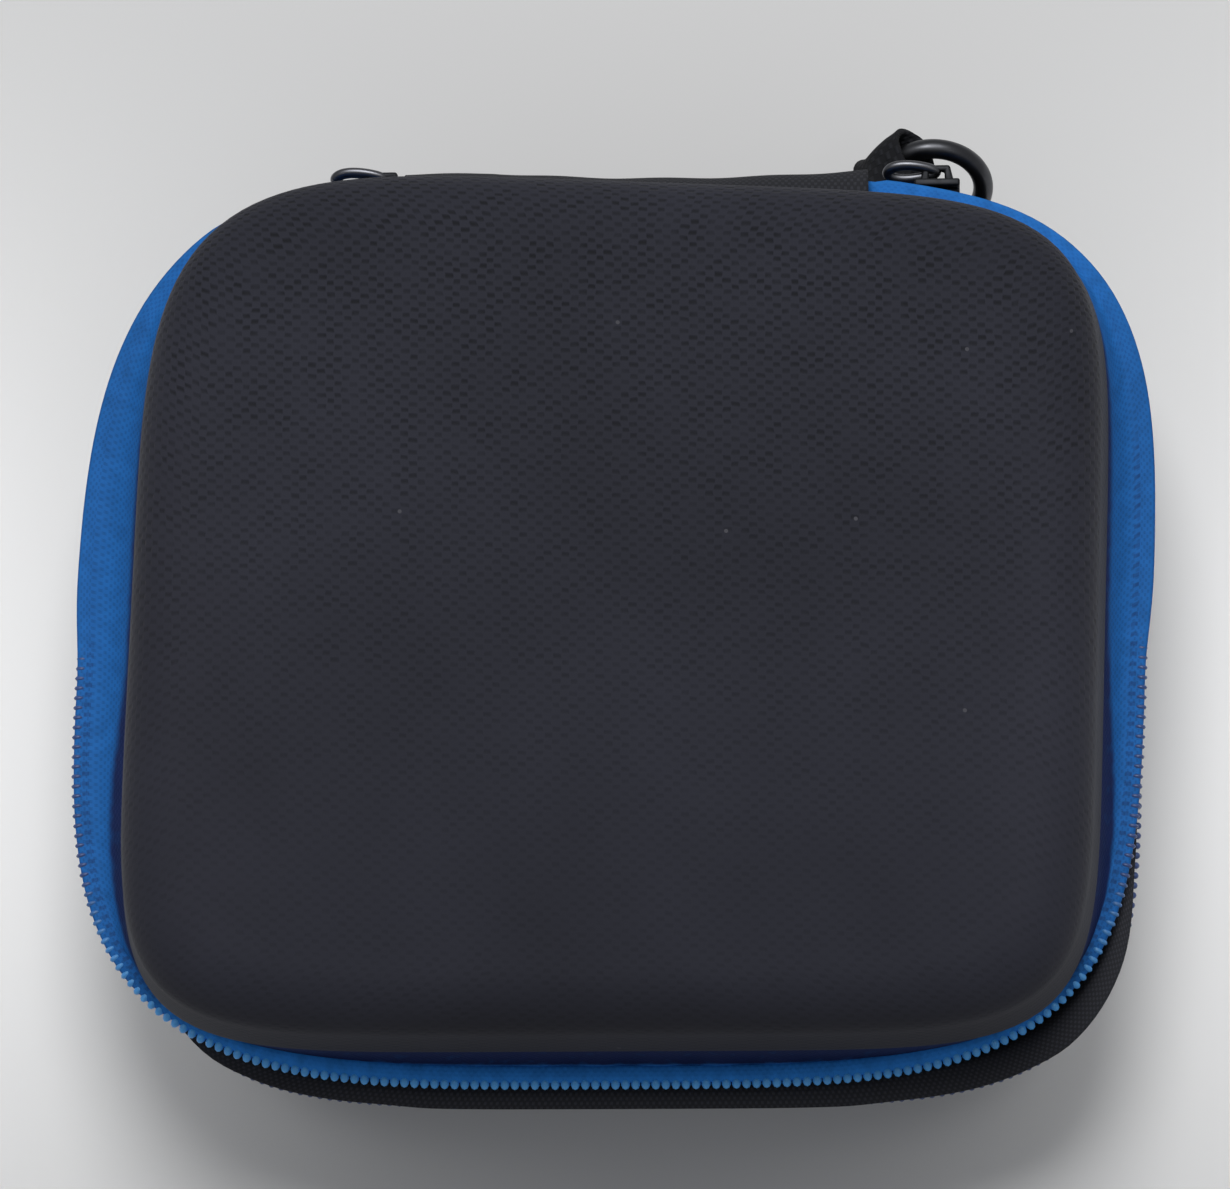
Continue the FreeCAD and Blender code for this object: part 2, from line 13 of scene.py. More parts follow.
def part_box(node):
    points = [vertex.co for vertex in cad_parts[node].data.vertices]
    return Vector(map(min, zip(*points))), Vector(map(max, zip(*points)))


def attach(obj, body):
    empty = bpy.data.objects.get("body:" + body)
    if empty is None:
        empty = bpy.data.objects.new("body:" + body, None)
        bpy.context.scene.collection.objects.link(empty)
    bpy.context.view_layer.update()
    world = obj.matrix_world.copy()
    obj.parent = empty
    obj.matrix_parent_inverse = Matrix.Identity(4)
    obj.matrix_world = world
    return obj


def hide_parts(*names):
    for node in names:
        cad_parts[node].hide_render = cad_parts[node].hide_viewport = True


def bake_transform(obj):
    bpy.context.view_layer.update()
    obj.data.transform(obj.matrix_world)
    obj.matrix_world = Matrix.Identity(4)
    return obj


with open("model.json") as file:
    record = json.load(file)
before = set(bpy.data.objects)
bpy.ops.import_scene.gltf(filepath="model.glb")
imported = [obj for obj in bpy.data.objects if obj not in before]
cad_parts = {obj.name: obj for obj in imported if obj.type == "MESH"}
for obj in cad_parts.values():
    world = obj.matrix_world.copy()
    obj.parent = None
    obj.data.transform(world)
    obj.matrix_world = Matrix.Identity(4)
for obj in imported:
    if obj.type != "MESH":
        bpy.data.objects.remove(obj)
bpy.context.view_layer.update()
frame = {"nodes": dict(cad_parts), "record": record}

bl_info = {
    "name": "Carry case looks",
    "version": (1, 0, 0),
    "blender": (4, 5, 0),
    "location": "View3D > Sidebar > Carry case",
    "description": "Cloth, zip, metal and stage for the carry case's frame",
    "category": "Object",
}

MM = 0.001
LID_LOW, LID_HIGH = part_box("lid_shell")
BASE_LOW, BASE_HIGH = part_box("base_shell")
LID_TEETH_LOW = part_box("lid_zip_coil")[0]
BASE_TEETH_LOW, BASE_TEETH_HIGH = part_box("base_zip_coil")
FOLD_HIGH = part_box("hinge_base_panel")[1]
NET_LOW, NET_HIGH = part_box("lid_pocket_net")
BAND_LOW, BAND_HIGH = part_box("lid_pocket_elastic")
# The zip ends just behind the hinge's cloth on either side
HINGE_GAP = FOLD_HIGH[0] - 0.4 * MM
# Points on a quarter of every outline, so that the rows of all bands line up
QUARTER = 60
AROUND = 4 * QUARTER
# Steps across the flat part of each zip tape, and the row that its stitches follow
TAPE_STEPS = 10
SEAM_ROW = 4


def linear(code):
    """Linear colour of an sRGB hex value."""
    shares = [int(code[start:start + 2], 16) / 255 for start in (0, 2, 4)]
    return [share / 12.92 if share <= 0.04045 else ((share + 0.055) / 1.055) ** 2.4 for share in shares]


def length(label, meaning, millimetres):
    return FloatProperty(
        name=label, description=meaning, default=millimetres * MM, unit="LENGTH", precision=5)


def slope(label, meaning, default):
    return FloatProperty(name=label, description=meaning, default=default, precision=4)


def colour(label, meaning, code):
    return FloatVectorProperty(
        name=label, description=meaning, default=linear(code), subtype="COLOR", min=0, max=1)


class CaseSizes(bpy.types.PropertyGroup):
    """Sizes that the frame leaves to the looks."""
    shell_corner: length("Shell corner", "Corner radius of both shells at their rims", 26)
    shell_wall: length("Shell wall", "Moulded foam wall", 3.2)
    lid_shoulder: length("Lid shoulder", "Rounding of the lid's upper edge", 9.5)
    base_edge: length("Base edge", "Rounding of the base's lower edge", 7)
    lid_draft: length("Lid draft", "Slope of the lid's wall, rim to top", 1.3)
    base_draft: length("Base draft", "Slope of the base's wall, rim to underside", 3)
    lid_crown: length("Lid crown", "How far the lid's face swells", 1.6)
    lid_slack: slope("Lid slack", "How far the free lid leans sideways, per unit of length", 0.0352)
    lid_shift: length("Lid shift", "How far the free lid lies to the side", -2.83)
    lid_skew: slope("Lid skew", "Slope of the free lid's back edge", -0.0506)
    tape_slack: slope("Tape slack", "How far the lid's teeth lean sideways, per unit of length", 0.0447)
    tape_shift: length("Tape shift", "How far the lid's row of teeth lies to the side", -4.0)
    tape_skew: slope("Tape skew", "Slope of the back of the lid's row of teeth", -0.0353)
    thread_long: length("Thread length", "Repeat of the shell cloth along a row of threads", 2.5)
    thread_row: length("Thread row", "Height of one row of the shell cloth", 0.9)
    tooth_pitch: length("Tooth pitch", "Spacing of the coil's teeth", 1.5)
    tape_cloth: length("Tape cloth", "Thickness of the zip tape", 0.8)
    tape_hem: length("Tape hem", "Width of the tape's hem inside the shell's wall", 3.6)
    stitch_pitch: length("Stitch pitch", "Spacing of the stitches", 3.4)
    net_cell: length("Net cell", "Width of one gap in the pocket's net", 3)
    webbing_wide: length("Webbing width", "Width of the ring's loop", 10.2)
    webbing_thick: length("Webbing thickness", "Thickness of the ring's loop", 1.1)


class CaseColours(bpy.types.PropertyGroup):
    """Colours of the case and its stage."""
    # Painted shade: the dark colour that fills the weave's dips
    shell: colour("Shell cloth", "Dark threads of the shell cloth", "18191E")
    shell_float: colour("Shell floats", "Raised threads of the shell cloth", "2A2B34")
    tape: colour("Zip tape", "Blue of the zip tape", "1A5A9C")
    # Painted shade: the darker blue in the hollows between the knit loops
    tape_hollow_shade: colour("Zip tape rows", "Hollows between the tape's knit rows", "174F8B")
    # Painted light: the lighter blue of the tape over the coil at the front and near the back
    tape_lit: colour("Stretched tape", "Tape drawn thin over the coil", "2A80D8")
    # Painted shade: the navy of the tape's sewn margin, also used for the coil seam's dashes
    tape_seam_and_shade: colour("Tape seam", "Tape where it is sewn to the lid", "14224C")
    teeth_shaded: colour("Shaded teeth", "Teeth that the tape's edge shades", "2E4373")
    # Painted light: the front teeth's blue is made lighter for the light that falls on them
    teeth: colour("Zip teeth", "Blue nylon of the coil", "4AA0E6")
    binding: colour("Binding", "Black binding and hinge cloth", "2A2B30")
    lining: colour("Lining", "Brushed lining", "2A2B30")
    webbing: colour("Webbing", "Black webbing", "1C1D21")
    metal: colour("Plating", "Dark plated metal of the ring", "58595D")
    pull_metal: colour("Pull plating", "Lighter plating of the pulls", "6E6F74")
    slider_metal: colour("Slider plating", "Darker plating of the sliders", "36373A")
    thread: colour("Thread", "Sewing thread", "1E2A4A")
    floor: colour("Floor", "Pale floor", "D9D9D9")


def add_node(tree, kind, inputs=(), **settings):
    """Node with its settings and its inputs, in order or by socket.

    An input takes a number, a colour, another node's output, or a node for the first output in use.
    """
    made = tree.nodes.new("ShaderNode" + kind)
    for name, setting in settings.items():
        setattr(made, name, setting)
    for socket, given in inputs.items() if isinstance(inputs, dict) else enumerate(inputs):
        if isinstance(given, bpy.types.Node):
            given = next(output for output in given.outputs if output.enabled)
        if isinstance(given, bpy.types.NodeSocket):
            tree.links.new(given, made.inputs[socket])
        else:
            made.inputs[socket].default_value = given
    return made


def new_material(name):
    """Empty material and the function that adds nodes to it."""
    material = bpy.data.materials.new(name)
    material.use_nodes = True
    material.node_tree.nodes.clear()
    return material, partial(add_node, material.node_tree)


def rgba(shade, share=1.0):
    """Opaque colour, made darker or lighter by a share."""
    return (*(share * part for part in shade[:3]), 1.0)


def rounded_quarter(side, end, corner):
    """Quarter of a rounded rectangle, from the side's middle to the end's middle."""
    turn = np.linspace(0, pi / 2, 160)
    arc = np.column_stack((side - corner + corner * np.cos(turn), end - corner + corner * np.sin(turn)))
    return np.vstack(([(side, 0)], arc, [(0, end)]))


def bowed_quarter(side, end, power):
    """Quarter of an outline whose sides bow out a little, from the side's middle to the end's middle."""
    turn = np.linspace(0, pi / 2, 900)
    return np.column_stack((side * np.cos(turn) ** (2 / power), end * np.sin(turn) ** (2 / power)))


def even(points, count):
    """The same line with its points evenly spaced."""
    steps = np.linalg.norm(np.diff(points, axis=0), axis=1)
    run = np.concatenate(([0], np.cumsum(steps)))
    wanted = np.linspace(0, run[-1], count + 1)
    return np.column_stack((np.interp(wanted, run, points[:, 0]), np.interp(wanted, run, points[:, 1])))


def closed_outline(right_back, left_back, left_front, right_front):
    """Closed outline, counter-clockwise from the right, out of four quarters."""
    return np.vstack((
        even(right_back, QUARTER)[:-1], even(left_back, QUARTER)[:0:-1] * (-1, 1),
        even(left_front, QUARTER)[:-1] * (-1, -1), even(right_front, QUARTER)[::-1] * (1, -1)))


def bowed_outline(side, back, front, *powers):
    """Closed outline of bowed quarters, each with its own power."""
    ends = (back, back, front, front)
    return closed_outline(*(bowed_quarter(side, end, power) for end, power in zip(ends, powers)))


def leaned(outline, slack, shift, skew):
    """Outline on the free lid, which hangs to the left at its front and has its back edge askew."""
    x, y = outline[:, 0], outline[:, 1]
    return np.column_stack((x + slack * y + shift, y + skew * x * np.maximum(y, 0) / LID_HIGH[1]))


def slacken(sizes, points):
    return leaned(points, sizes.lid_slack, sizes.lid_shift, sizes.lid_skew)


def base_outline(sizes, inwards):
    """Outline of the base's shell."""
    quarter = rounded_quarter(
        BASE_HIGH[0] - inwards, BASE_HIGH[1] - inwards, max(sizes.shell_corner - inwards, 4 * MM))
    return closed_outline(quarter, quarter, quarter, quarter)


def lid_outline(sizes, inwards):
    """Outline of the lid's shell: the lid is slack, so its sides bow and no two corners are alike."""
    side, back, front = 73.1 * MM - inwards, 66.4 * MM - inwards, 64.6 * MM - inwards
    return slacken(sizes, bowed_outline(side, back, front, 5.8, 4.6, 6.1, 6.6))


def outward(outline):
    """Outward direction at every point of a closed outline."""
    ahead = np.roll(outline[:-1], -1, axis=0) - np.roll(outline[:-1], 1, axis=0)
    sideways = np.column_stack((ahead[:, 1], -ahead[:, 0]))
    sideways /= np.linalg.norm(sideways, axis=1)[:, None]
    return np.vstack((sideways, sideways[:1]))


def cloth_grid(columns, rows, place, stretch, closed=False):
    """Grid laid out by place(column, row), with its UV map in metres from stretch(column, row)."""
    bm = bmesh.new()
    uv = bm.loops.layers.uv.new("UVMap")
    bmesh.ops.create_grid(bm, x_segments=columns, y_segments=rows, size=0.5, calc_uvs=True)
    for face in bm.faces:
        for loop in face.loops:
            column = round((loop.vert.co.x + 0.5) * columns)
            row = round((loop.vert.co.y + 0.5) * rows)
            loop[uv].uv = stretch(column, row)
    for vert in bm.verts:
        vert.co = place(round((vert.co.x + 0.5) * columns), round((vert.co.y + 0.5) * rows))
    if closed:
        bmesh.ops.remove_doubles(bm, verts=bm.verts, dist=1e-7)
        bmesh.ops.recalc_face_normals(bm, faces=bm.faces)
    return bm


def add_object(name, data):
    made = bpy.data.objects.new(name, data)
    bpy.context.scene.collection.objects.link(made)
    return made


def mesh_object(bm, name, material):
    """Object out of a bmesh, in one material."""
    mesh = bpy.data.meshes.new(name)
    bm.to_mesh(mesh)
    bm.free()
    mesh.materials.append(material)
    return add_object(name, mesh)


def piece(bm, name, finish, slot, body, *stands_for):
    """Smooth object that rides on its body, if it has one, and stands for its CAD nodes."""
    made = mesh_object(bm, name, FINISHES[finish])
    for polygon in made.data.polygons:
        polygon.use_smooth = True
    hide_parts(*stands_for)
    if body:
        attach(made, body)
    return made


def surface(add, shader):
    add("OutputMaterial", {"Surface": shader})


def wave(add, place, period):
    """Cosine along a coordinate that repeats at that length."""
    turn = add("Math", (place, 2 * pi / period), operation="MULTIPLY")
    return add("Math", {0: turn}, operation="COSINE")


def staggered(add, cloth, long, row, soft=0.3):
    """Soft spots in staggered rows, from 0 to 1, for threads or knit loops that repeat at that length."""
    parts = add("SeparateXYZ", {"Vector": cloth})
    along, across = wave(add, parts.outputs["X"], long), wave(add, parts.outputs["Y"], 2 * row)
    # Flat-topped along the row, so that a spot is longer than it is high
    drawn = add("MapRange", (along, -soft, soft, -1.0, 1.0))
    spots = add("Math", (drawn, across), operation="MULTIPLY")
    return add("Math", (spots, 0.0), operation="MAXIMUM")


def clouded(add, shade, clouds, low, high):
    """Colour that noise makes darker and lighter in patches, by those shares."""
    depth = add("MapRange", (clouds, 0.3, 0.7, low, high))
    return add("VectorMath", {0: shade, "Scale": depth}, operation="SCALE")


def moulded_weave(sizes, colours):
    """Polyester weave, heat moulded over foam: rows of small dips with painted shade in them, dull, with soft
    patches and lint.
    """
    material, add = new_material("moulded_polyester_weave")
    cloth = add("UVMap", uv_map="UVMap")
    # The yarn wanders by a small part of a thread, so the rows aren't ruled lines
    wander = add("TexNoise", {"Vector": cloth, "Scale": 350.0, "Detail": 1.0})
    reach = (1.0 * MM, 0.6 * MM, 0.0)
    bent = add("VectorMath", (wander.outputs["Color"], reach, cloth), operation="MULTIPLY_ADD")
    dips = staggered(add, bent, sizes.thread_long, sizes.thread_row, 0.45)
    # Some dips were pressed shut by the mould
    press = add("TexNoise", {"Vector": cloth, "Scale": 260.0, "Detail": 2.0})
    open_ = add("MapRange", (press, 0.35, 0.65, 0.4, 1.0))
    # Painted light: the painted shade in the dips, and their bump, fade toward the front, where the light
    # shows them less
    spot = add("SeparateXYZ", {"Vector": cloth})
    tight = add("MapRange", (spot.outputs["Y"], -40 * MM, 45 * MM, 0.25, 1.0))
    pressed = add("Math", (dips, open_), operation="MULTIPLY")
    sunk = add("Math", (pressed, tight), operation="MULTIPLY")
    # Painted shade in the dips: the darker colour goes where the dips sink
    threads = add("Mix", {0: sunk, 6: rgba(colours.shell_float), 7: rgba(colours.shell)}, data_type="RGBA")
    patches = add("TexNoise", {"Vector": cloth, "Scale": 22.0, "Detail": 3.0})
    shade = clouded(add, threads, patches, 0.86, 1.14)
    # Specks of lint 0.6 mm across, one about every 40 mm
    lint = add("TexVoronoi", {"Vector": cloth, "Scale": 60.0}, voronoi_dimensions="2D")
    small = add("Math", (lint.outputs["Distance"], 0.018), operation="LESS_THAN")
    parts = add("SeparateColor", {"Color": lint.outputs["Color"]})
    rare = add("Math", (parts.outputs["Red"], 0.83), operation="GREATER_THAN")
    speck = add("Math", (small, rare), operation="MULTIPLY")
    dusty = add("Mix", {0: speck, 6: shade, 7: rgba(linear("48484E"))}, data_type="RGBA")
    bump = add("Bump", {"Height": sunk, "Strength": 0.6, "Distance": 0.2 * MM}, invert=True)
    surface(add, add("BsdfPrincipled", {
        "Base Color": dusty, "Roughness": 0.8, "IOR": 1.45, "Specular IOR Level": 0.2,
        "Sheen Weight": 0.04, "Sheen Roughness": 0.45, "Normal": bump}))
    return material


def tape_knit(sizes, colours):
    """Warp-knitted polyester tape: fine loops with painted shade in their hollows, dull, painted shade where
    it is sewn on, painted light over the coil, dashed at the coil's seam.
    """
    material, add = new_material("warp_knit_tape")
    cloth = add("UVMap", uv_map="UVMap")
    marks = ("painted_light", "inset", "flat", "sewn")
    painted_light, inset, flat, sewn = (add("Attribute", attribute_name=name).outputs["Fac"] for name in marks)
    # Loops that repeat every 1.1 mm in columns 0.45 mm apart
    loops = staggered(add, cloth, 1.1 * MM, 0.45 * MM)
    # Painted shade in the hollows between the knit loops
    knit = add("Mix", {0: loops, 6: rgba(colours.tape), 7: rgba(colours.tape_hollow_shade)}, data_type="RGBA")
    # Painted light: the tape turns lighter over the coil at the front and near the back
    drawn = add("Mix", {0: painted_light, 6: knit, 7: rgba(colours.tape_lit)}, data_type="RGBA")
    # One dash of the seam that holds the coil for every tooth, 2.3 mm in from the edge
    seam = add("Math", (inset, 2.3 * MM, 0.55 * MM), operation="COMPARE")
    parts = add("SeparateXYZ", {"Vector": cloth})
    teeth = wave(add, parts.outputs["X"], sizes.tooth_pitch)
    dash = add("MapRange", (teeth, -0.2, 0.6, 0.0, 0.42))
    sunk = add("Math", (seam, dash), operation="MULTIPLY")
    shown = add("Math", (sunk, flat), operation="MULTIPLY")
    dashed = add("Mix", {0: shown, 6: drawn, 7: rgba(colours.tape_seam_and_shade)}, data_type="RGBA")
    # The painted shade along the sewn margin ends in a ragged line, where the cloth puckers
    patches = add("TexNoise", {"Vector": cloth, "Scale": 420.0, "Detail": 2.0})
    pucker = add("Math", (patches, 0.9, sewn), operation="MULTIPLY_ADD")
    margin = add("MapRange", (pucker, 0.58, 1.4))
    dye_and_shade = add("Mix", {0: margin, 6: dashed, 7: rgba(colours.tape_seam_and_shade)}, data_type="RGBA")
    shade = clouded(add, dye_and_shade, patches, 0.86, 1.14)
    bump = add("Bump", {"Height": loops, "Strength": 0.4, "Distance": 0.1 * MM}, invert=True)
    surface(add, add("BsdfPrincipled", {
        "Base Color": shade, "Roughness": 0.75, "IOR": 1.45, "Specular IOR Level": 0.2, "Normal": bump}))
    return material


def coil_nylon(name, front, side):
    """Nylon monofilament, drawn and coiled: a bright highlight on every turn; its front colour is painted
    light, and painted shade makes it duller at the case's sides.
    """
    material, add = new_material(name)
    place = add("TexCoord").outputs["Object"]
    parts = add("SeparateXYZ", {"Vector": place})
    # Painted shade: the teeth change to the shaded colour toward the case's sides
    turned = add("MapRange", (parts.outputs["Y"], -58 * MM, -38 * MM))
    shade = add("Mix", {0: turned, 6: rgba(front), 7: rgba(side)}, data_type="RGBA")
    tint = add("TexNoise", {"Vector": place, "Scale": 260.0, "Detail": 1.0})
    uneven = add("MapRange", (tint, 0.0, 1.0, 0.9, 1.15))
    dye_and_shade = add("VectorMath", {0: shade, "Scale": uneven}, operation="SCALE")
    surface(add, add("BsdfPrincipled", {"Base Color": dye_and_shade, "Roughness": 0.34, "IOR": 1.53}))
    return material


def ribbed_cloth(name, shade, pitch, cross, strength):
    """Black ribbed cloth: rows of short raised threads across the strip, dull."""
    material, add = new_material(name)
    ribs = staggered(add, add("UVMap", uv_map="UVMap"), pitch, cross)
    weave = add("Mix", {0: ribs, 6: rgba(shade, 0.75), 7: rgba(shade, 1.4)}, data_type="RGBA")
    bump = add("Bump", {"Height": ribs, "Strength": strength, "Distance": 0.2 * MM})
    surface(add, add("BsdfPrincipled", {
        "Base Color": weave, "Roughness": 0.8, "IOR": 1.45, "Specular IOR Level": 0.2, "Normal": bump}))
    return material


def brushed_lining(colours):
    """Brushed polyester lining: short soft nap, no shine, cloudy where it was stroked."""
    material, add = new_material("brushed_lining")
    place = add("TexCoord").outputs["Object"]
    # The nap is drawn at 0.5 mm, coarser than real fibres, so that it shows
    nap = add("TexNoise", {"Vector": place, "Scale": 1 / (0.5 * MM), "Detail": 2.0})
    clouds = add("TexNoise", {"Vector": place, "Scale": 45.0, "Detail": 3.0})
    shade = clouded(add, tuple(colours.lining[:3]), clouds, 0.75, 1.3)
    bump = add("Bump", {"Height": nap, "Strength": 0.6, "Distance": 0.2 * MM})
    surface(add, add("BsdfPrincipled", {
        "Base Color": shade, "Roughness": 0.95, "Sheen Weight": 0.5, "Sheen Roughness": 0.6, "Normal": bump}))
    return material


def plated_metal(name, plating, gloss_low, gloss_high):
    """Zinc casting with nickel plating: glossy where it is polished, with faint smears and fine wear."""
    material, add = new_material(name)
    place = add("TexCoord").outputs["Object"]
    smears = add("TexNoise", {"Vector": place, "Scale": 380.0, "Detail": 4.0})
    gloss = add("MapRange", (smears, 0.3, 0.75, gloss_low, gloss_high))
    shade = add("Mix", {0: smears, 6: rgba(plating), 7: rgba(plating, 0.6)}, data_type="RGBA")
    surface(add, add("BsdfPrincipled", {"Base Color": shade, "Metallic": 1.0, "Roughness": gloss}))
    return material


def sewing_thread(colours):
    """Twisted polyester thread: dull, with slanting plies drawn 0.5 mm apart."""
    material, add = new_material("twisted_thread")
    place = add("TexCoord").outputs["Object"]
    plies = add("TexWave", {
        "Vector": place, "Scale": 1 / (0.5 * MM) / 20, "Distortion": 1.0}, bands_direction="DIAGONAL")
    shade = add("Mix", {
        0: plies.outputs["Fac"], 6: rgba(colours.thread), 7: rgba(colours.thread, 1.6)}, data_type="RGBA")
    surface(add, add("BsdfPrincipled", {"Base Color": shade, "Roughness": 0.7}))
    return material


FINISHES = {}


def make_finishes(sizes, colours):
    """Every material of the case by a short name; a cloth's numbers are its thread spacings and relief."""
    FINISHES.update({
        "weave": moulded_weave(sizes, colours),
        "tape": tape_knit(sizes, colours),
        "nylon": coil_nylon("coiled_nylon", colours.teeth, colours.teeth_shaded),
        # Painted shade: the base's teeth take the shaded colour all round
        "shaded_nylon": coil_nylon("coiled_nylon_shaded", colours.teeth_shaded, colours.teeth_shaded),
        "binding": ribbed_cloth("ribbed_binding", colours.binding, 0.9 * MM, 0.7 * MM, 0.3),
        "hinge": ribbed_cloth("grosgrain_hinge", colours.binding, 1.0 * MM, 0.8 * MM, 0.6),
        "webbing": ribbed_cloth("nylon_webbing", colours.webbing, 1.5 * MM, 0.9 * MM, 0.9),
        "elastic": ribbed_cloth("woven_elastic", colours.webbing, 0.8 * MM, 1.5 * MM, 0.7),
        "lining": brushed_lining(colours),
        "metal": plated_metal("dark_nickel_ring", colours.metal, 0.28, 0.45),
        "pull_metal": plated_metal("nickel_pull", colours.pull_metal, 0.28, 0.45),
        "slider_metal": plated_metal("dark_nickel_slider", colours.slider_metal, 0.5, 0.65),
        "thread": sewing_thread(colours),
    })


def cup_rounding(depth, radius, draft, face, up):
    """How a shell's inside and its lining round off between wall and face: inset, level and turn."""
    for turn in np.linspace(0, pi / 2, 7):
        inset = depth + draft + radius * (1 - cos(turn)) - draft * 0.3 * (1 - turn)
        yield inset, face - up * radius * (1 - sin(turn)), turn


def shell_rows(sizes, outline_of, rim, far, edge, draft, crown):
    """Rows of a shell from its face's middle, over the shoulder, round the rim and back inside.

    A row is its outline, its height and how far the cloth has run from the shoulder (None on the face).
    """
    up = 1 if far > rim else -1
    rows = []
    face = outline_of(sizes, draft + edge)
    for share in np.linspace(0, 1, 18):
        rows.append((face * share, far + up * crown * (0.5 - share ** 2.4), None))
    run = 0
    face_level = far - up * crown * 0.5
    for turn in np.linspace(0, pi / 2, 13)[1:]:
        run += edge * pi / 24
        inwards = draft + edge * (1 - sin(turn))
        rows.append((outline_of(sizes, inwards), face_level - up * edge * (1 - cos(turn)), run))
    wall_top = face_level - up * edge
    lip = 1.2 * MM
    for share in np.linspace(0, 1, 8)[1:]:
        level = wall_top + (rim + up * lip - wall_top) * share
        rows.append((outline_of(sizes, draft * (1 - share)), level, run + abs(level - wall_top)))
    run = rows[-1][2]
    for turn in np.linspace(0, pi / 2, 6)[1:]:
        inwards = lip * (1 - cos(turn))
        rows.append((outline_of(sizes, inwards), rim + up * lip * (1 - sin(turn)), run + lip * turn))
    run = rows[-1][2]
    wall = sizes.shell_wall
    rows.append((outline_of(sizes, wall), rim, run + wall))
    inner = far - up * wall
    for inset, level, turn in cup_rounding(wall, edge - wall, draft, inner, up):
        rows.append((outline_of(sizes, inset), level, run + (2 + turn) * wall))
    rows.append((face * 0.0, inner, None))
    return rows, face, outward(face)


def shell_mesh(rows, face, away, skew):
    """Shell through those rows; its cloth lies as askew as the shell."""
    def place(column, row):
        outline, level, _ = rows[row]
        return (*outline[column], level)

    def stretch(column, row):
        outline, _, run = rows[row]
        spot = outline[column] if run is None else face[column] + away[column] * run
        return (spot[0], spot[1] - spot[0] * skew)

    return cloth_grid(AROUND, len(rows) - 1, place, stretch, closed=True)


def shell_plans(sizes):
    """Each shell's body, then its outline, rim, face, rounding and draft, then its crown and cloth's skew."""
    lid = (lid_outline, LID_LOW[2], LID_HIGH[2], sizes.lid_shoulder, sizes.lid_draft)
    base = (base_outline, BASE_HIGH[2], BASE_LOW[2], sizes.base_edge, sizes.base_draft)
    return ("lid", lid, sizes.lid_crown, sizes.lid_skew), ("base", base, 0, 0)


class CASE_OT_shells(bpy.types.Operator):
    """Make both moulded shells with their woven faces"""
    bl_idname = "carry_case.shells"
    bl_label = "Shells"

    def execute(self, context):
        sizes = context.scene.case_sizes
        for body, plan, crown, skew in shell_plans(sizes):
            bm = shell_mesh(*shell_rows(sizes, *plan, crown), skew)
            piece(bm, f"{body}_cloth_shell", "weave", "shell_cloth", body, f"{body}_shell")
        return {"FINISHED"}


def cup_mesh(sizes, outline_of, rim, far, edge, draft, inwards, thick):
    """Thin cup that lines a shell: out along its inner face and back along its own."""
    up = 1 if far > rim else -1
    rows = []
    for depth, order in ((inwards, 1), (inwards + thick, -1)):
        face = far - up * depth
        radius = max(edge - depth, 1.5 * MM)
        side = [(outline_of(sizes, depth), rim)]
        for inset, level, _ in cup_rounding(depth, radius, draft, face, up):
            side.append((outline_of(sizes, inset), level))
        middle = outline_of(sizes, depth + draft + radius)
        side += [(middle * share, face) for share in (0.75, 0.5, 0.25, 0.0)]
        rows += side[::-1] if order == 1 else side

    def place(column, row):
        return (*rows[row][0][column], rows[row][1])

    return cloth_grid(AROUND, len(rows) - 1, place, lambda column, row: (column * MM, row * MM), closed=True)


class CASE_OT_linings(bpy.types.Operator):
    """Make the brushed linings inside both shells"""
    bl_idname = "carry_case.linings"
    bl_label = "Linings"

    def execute(self, context):
        sizes = context.scene.case_sizes
        glue, thick = 0.15 * MM, 0.8 * MM
        for body, plan, _, _ in shell_plans(sizes):
            bm = cup_mesh(sizes, *plan, sizes.shell_wall + glue, thick)
            piece(bm, f"{body}_brushed_lining", "lining", "lining_cloth", body, f"{body}_lining")
        return {"FINISHED"}


def ease(low, high, numbers):
    """Smooth step from 0 at low to 1 at high."""
    share = np.clip((numbers - low) / (high - low), 0, 1)
    return share * share * (3 - 2 * share)


def ramp(low, high, numbers):
    """The same step between two lengths in millimetres."""
    return ease(low * MM, high * MM, numbers)


def open_outline(outline):
    """The outline from the hinge's left end, round the front, to its right end, evenly spaced."""
    ring = np.vstack((outline[QUARTER:-1], outline[:QUARTER + 1]))
    first = int(np.argmax(ring[:, 0] < -HINGE_GAP))
    last = len(ring) - 1 - int(np.argmax(ring[::-1, 0] > HINGE_GAP))
    ends = []
    for inside, outside, limit in ((first - 1, first, -HINGE_GAP), (last + 1, last, HINGE_GAP)):
        share = (limit - ring[inside, 0]) / (ring[outside, 0] - ring[inside, 0])
        ends.append(ring[inside] + (ring[outside] - ring[inside]) * share)
    return even(np.vstack((ends[:1], ring[first:last + 1], ends[1:])), AROUND)


def sideways(line):
    """Outward direction along an open outline that runs counter-clockwise."""
    ahead = np.gradient(line, axis=0)
    away = np.column_stack((ahead[:, 1], -ahead[:, 0]))
    return away / np.linalg.norm(away, axis=1)[:, None]


def line_length(line):
    return float(np.linalg.norm(np.diff(line, axis=0), axis=1).sum())


def band_mesh(rows):
    """Strip of cloth through rows of (line, heights), with its UV map along and across the strip."""
    along = line_length(rows[-1][0]) / (len(rows[0][0]) - 1)
    middle = len(rows[0][0]) // 2
    across = [0]
    for (line, heights), (following, next_heights) in zip(rows, rows[1:]):
        step = following[middle] - line[middle]
        across.append(across[-1] + hypot(*step, next_heights[middle] - heights[middle]))

    def place(column, row):
        line, heights = rows[row]
        return (*line[column], heights[column])

    return cloth_grid(
        len(rows[0][0]) - 1, len(rows) - 1, place, lambda column, row: (column * along, across[row]))


def thicken(made, thick, offset):
    wall = made.modifiers.new("cloth", "SOLIDIFY")
    wall.thickness = thick
    wall.offset = offset


def declare_band(rows):
    """Works out a strip's mean length, the size that it was cut to along it, and does nothing with it."""
    long = (line_length(rows[0][0]) + line_length(rows[-1][0])) / 2


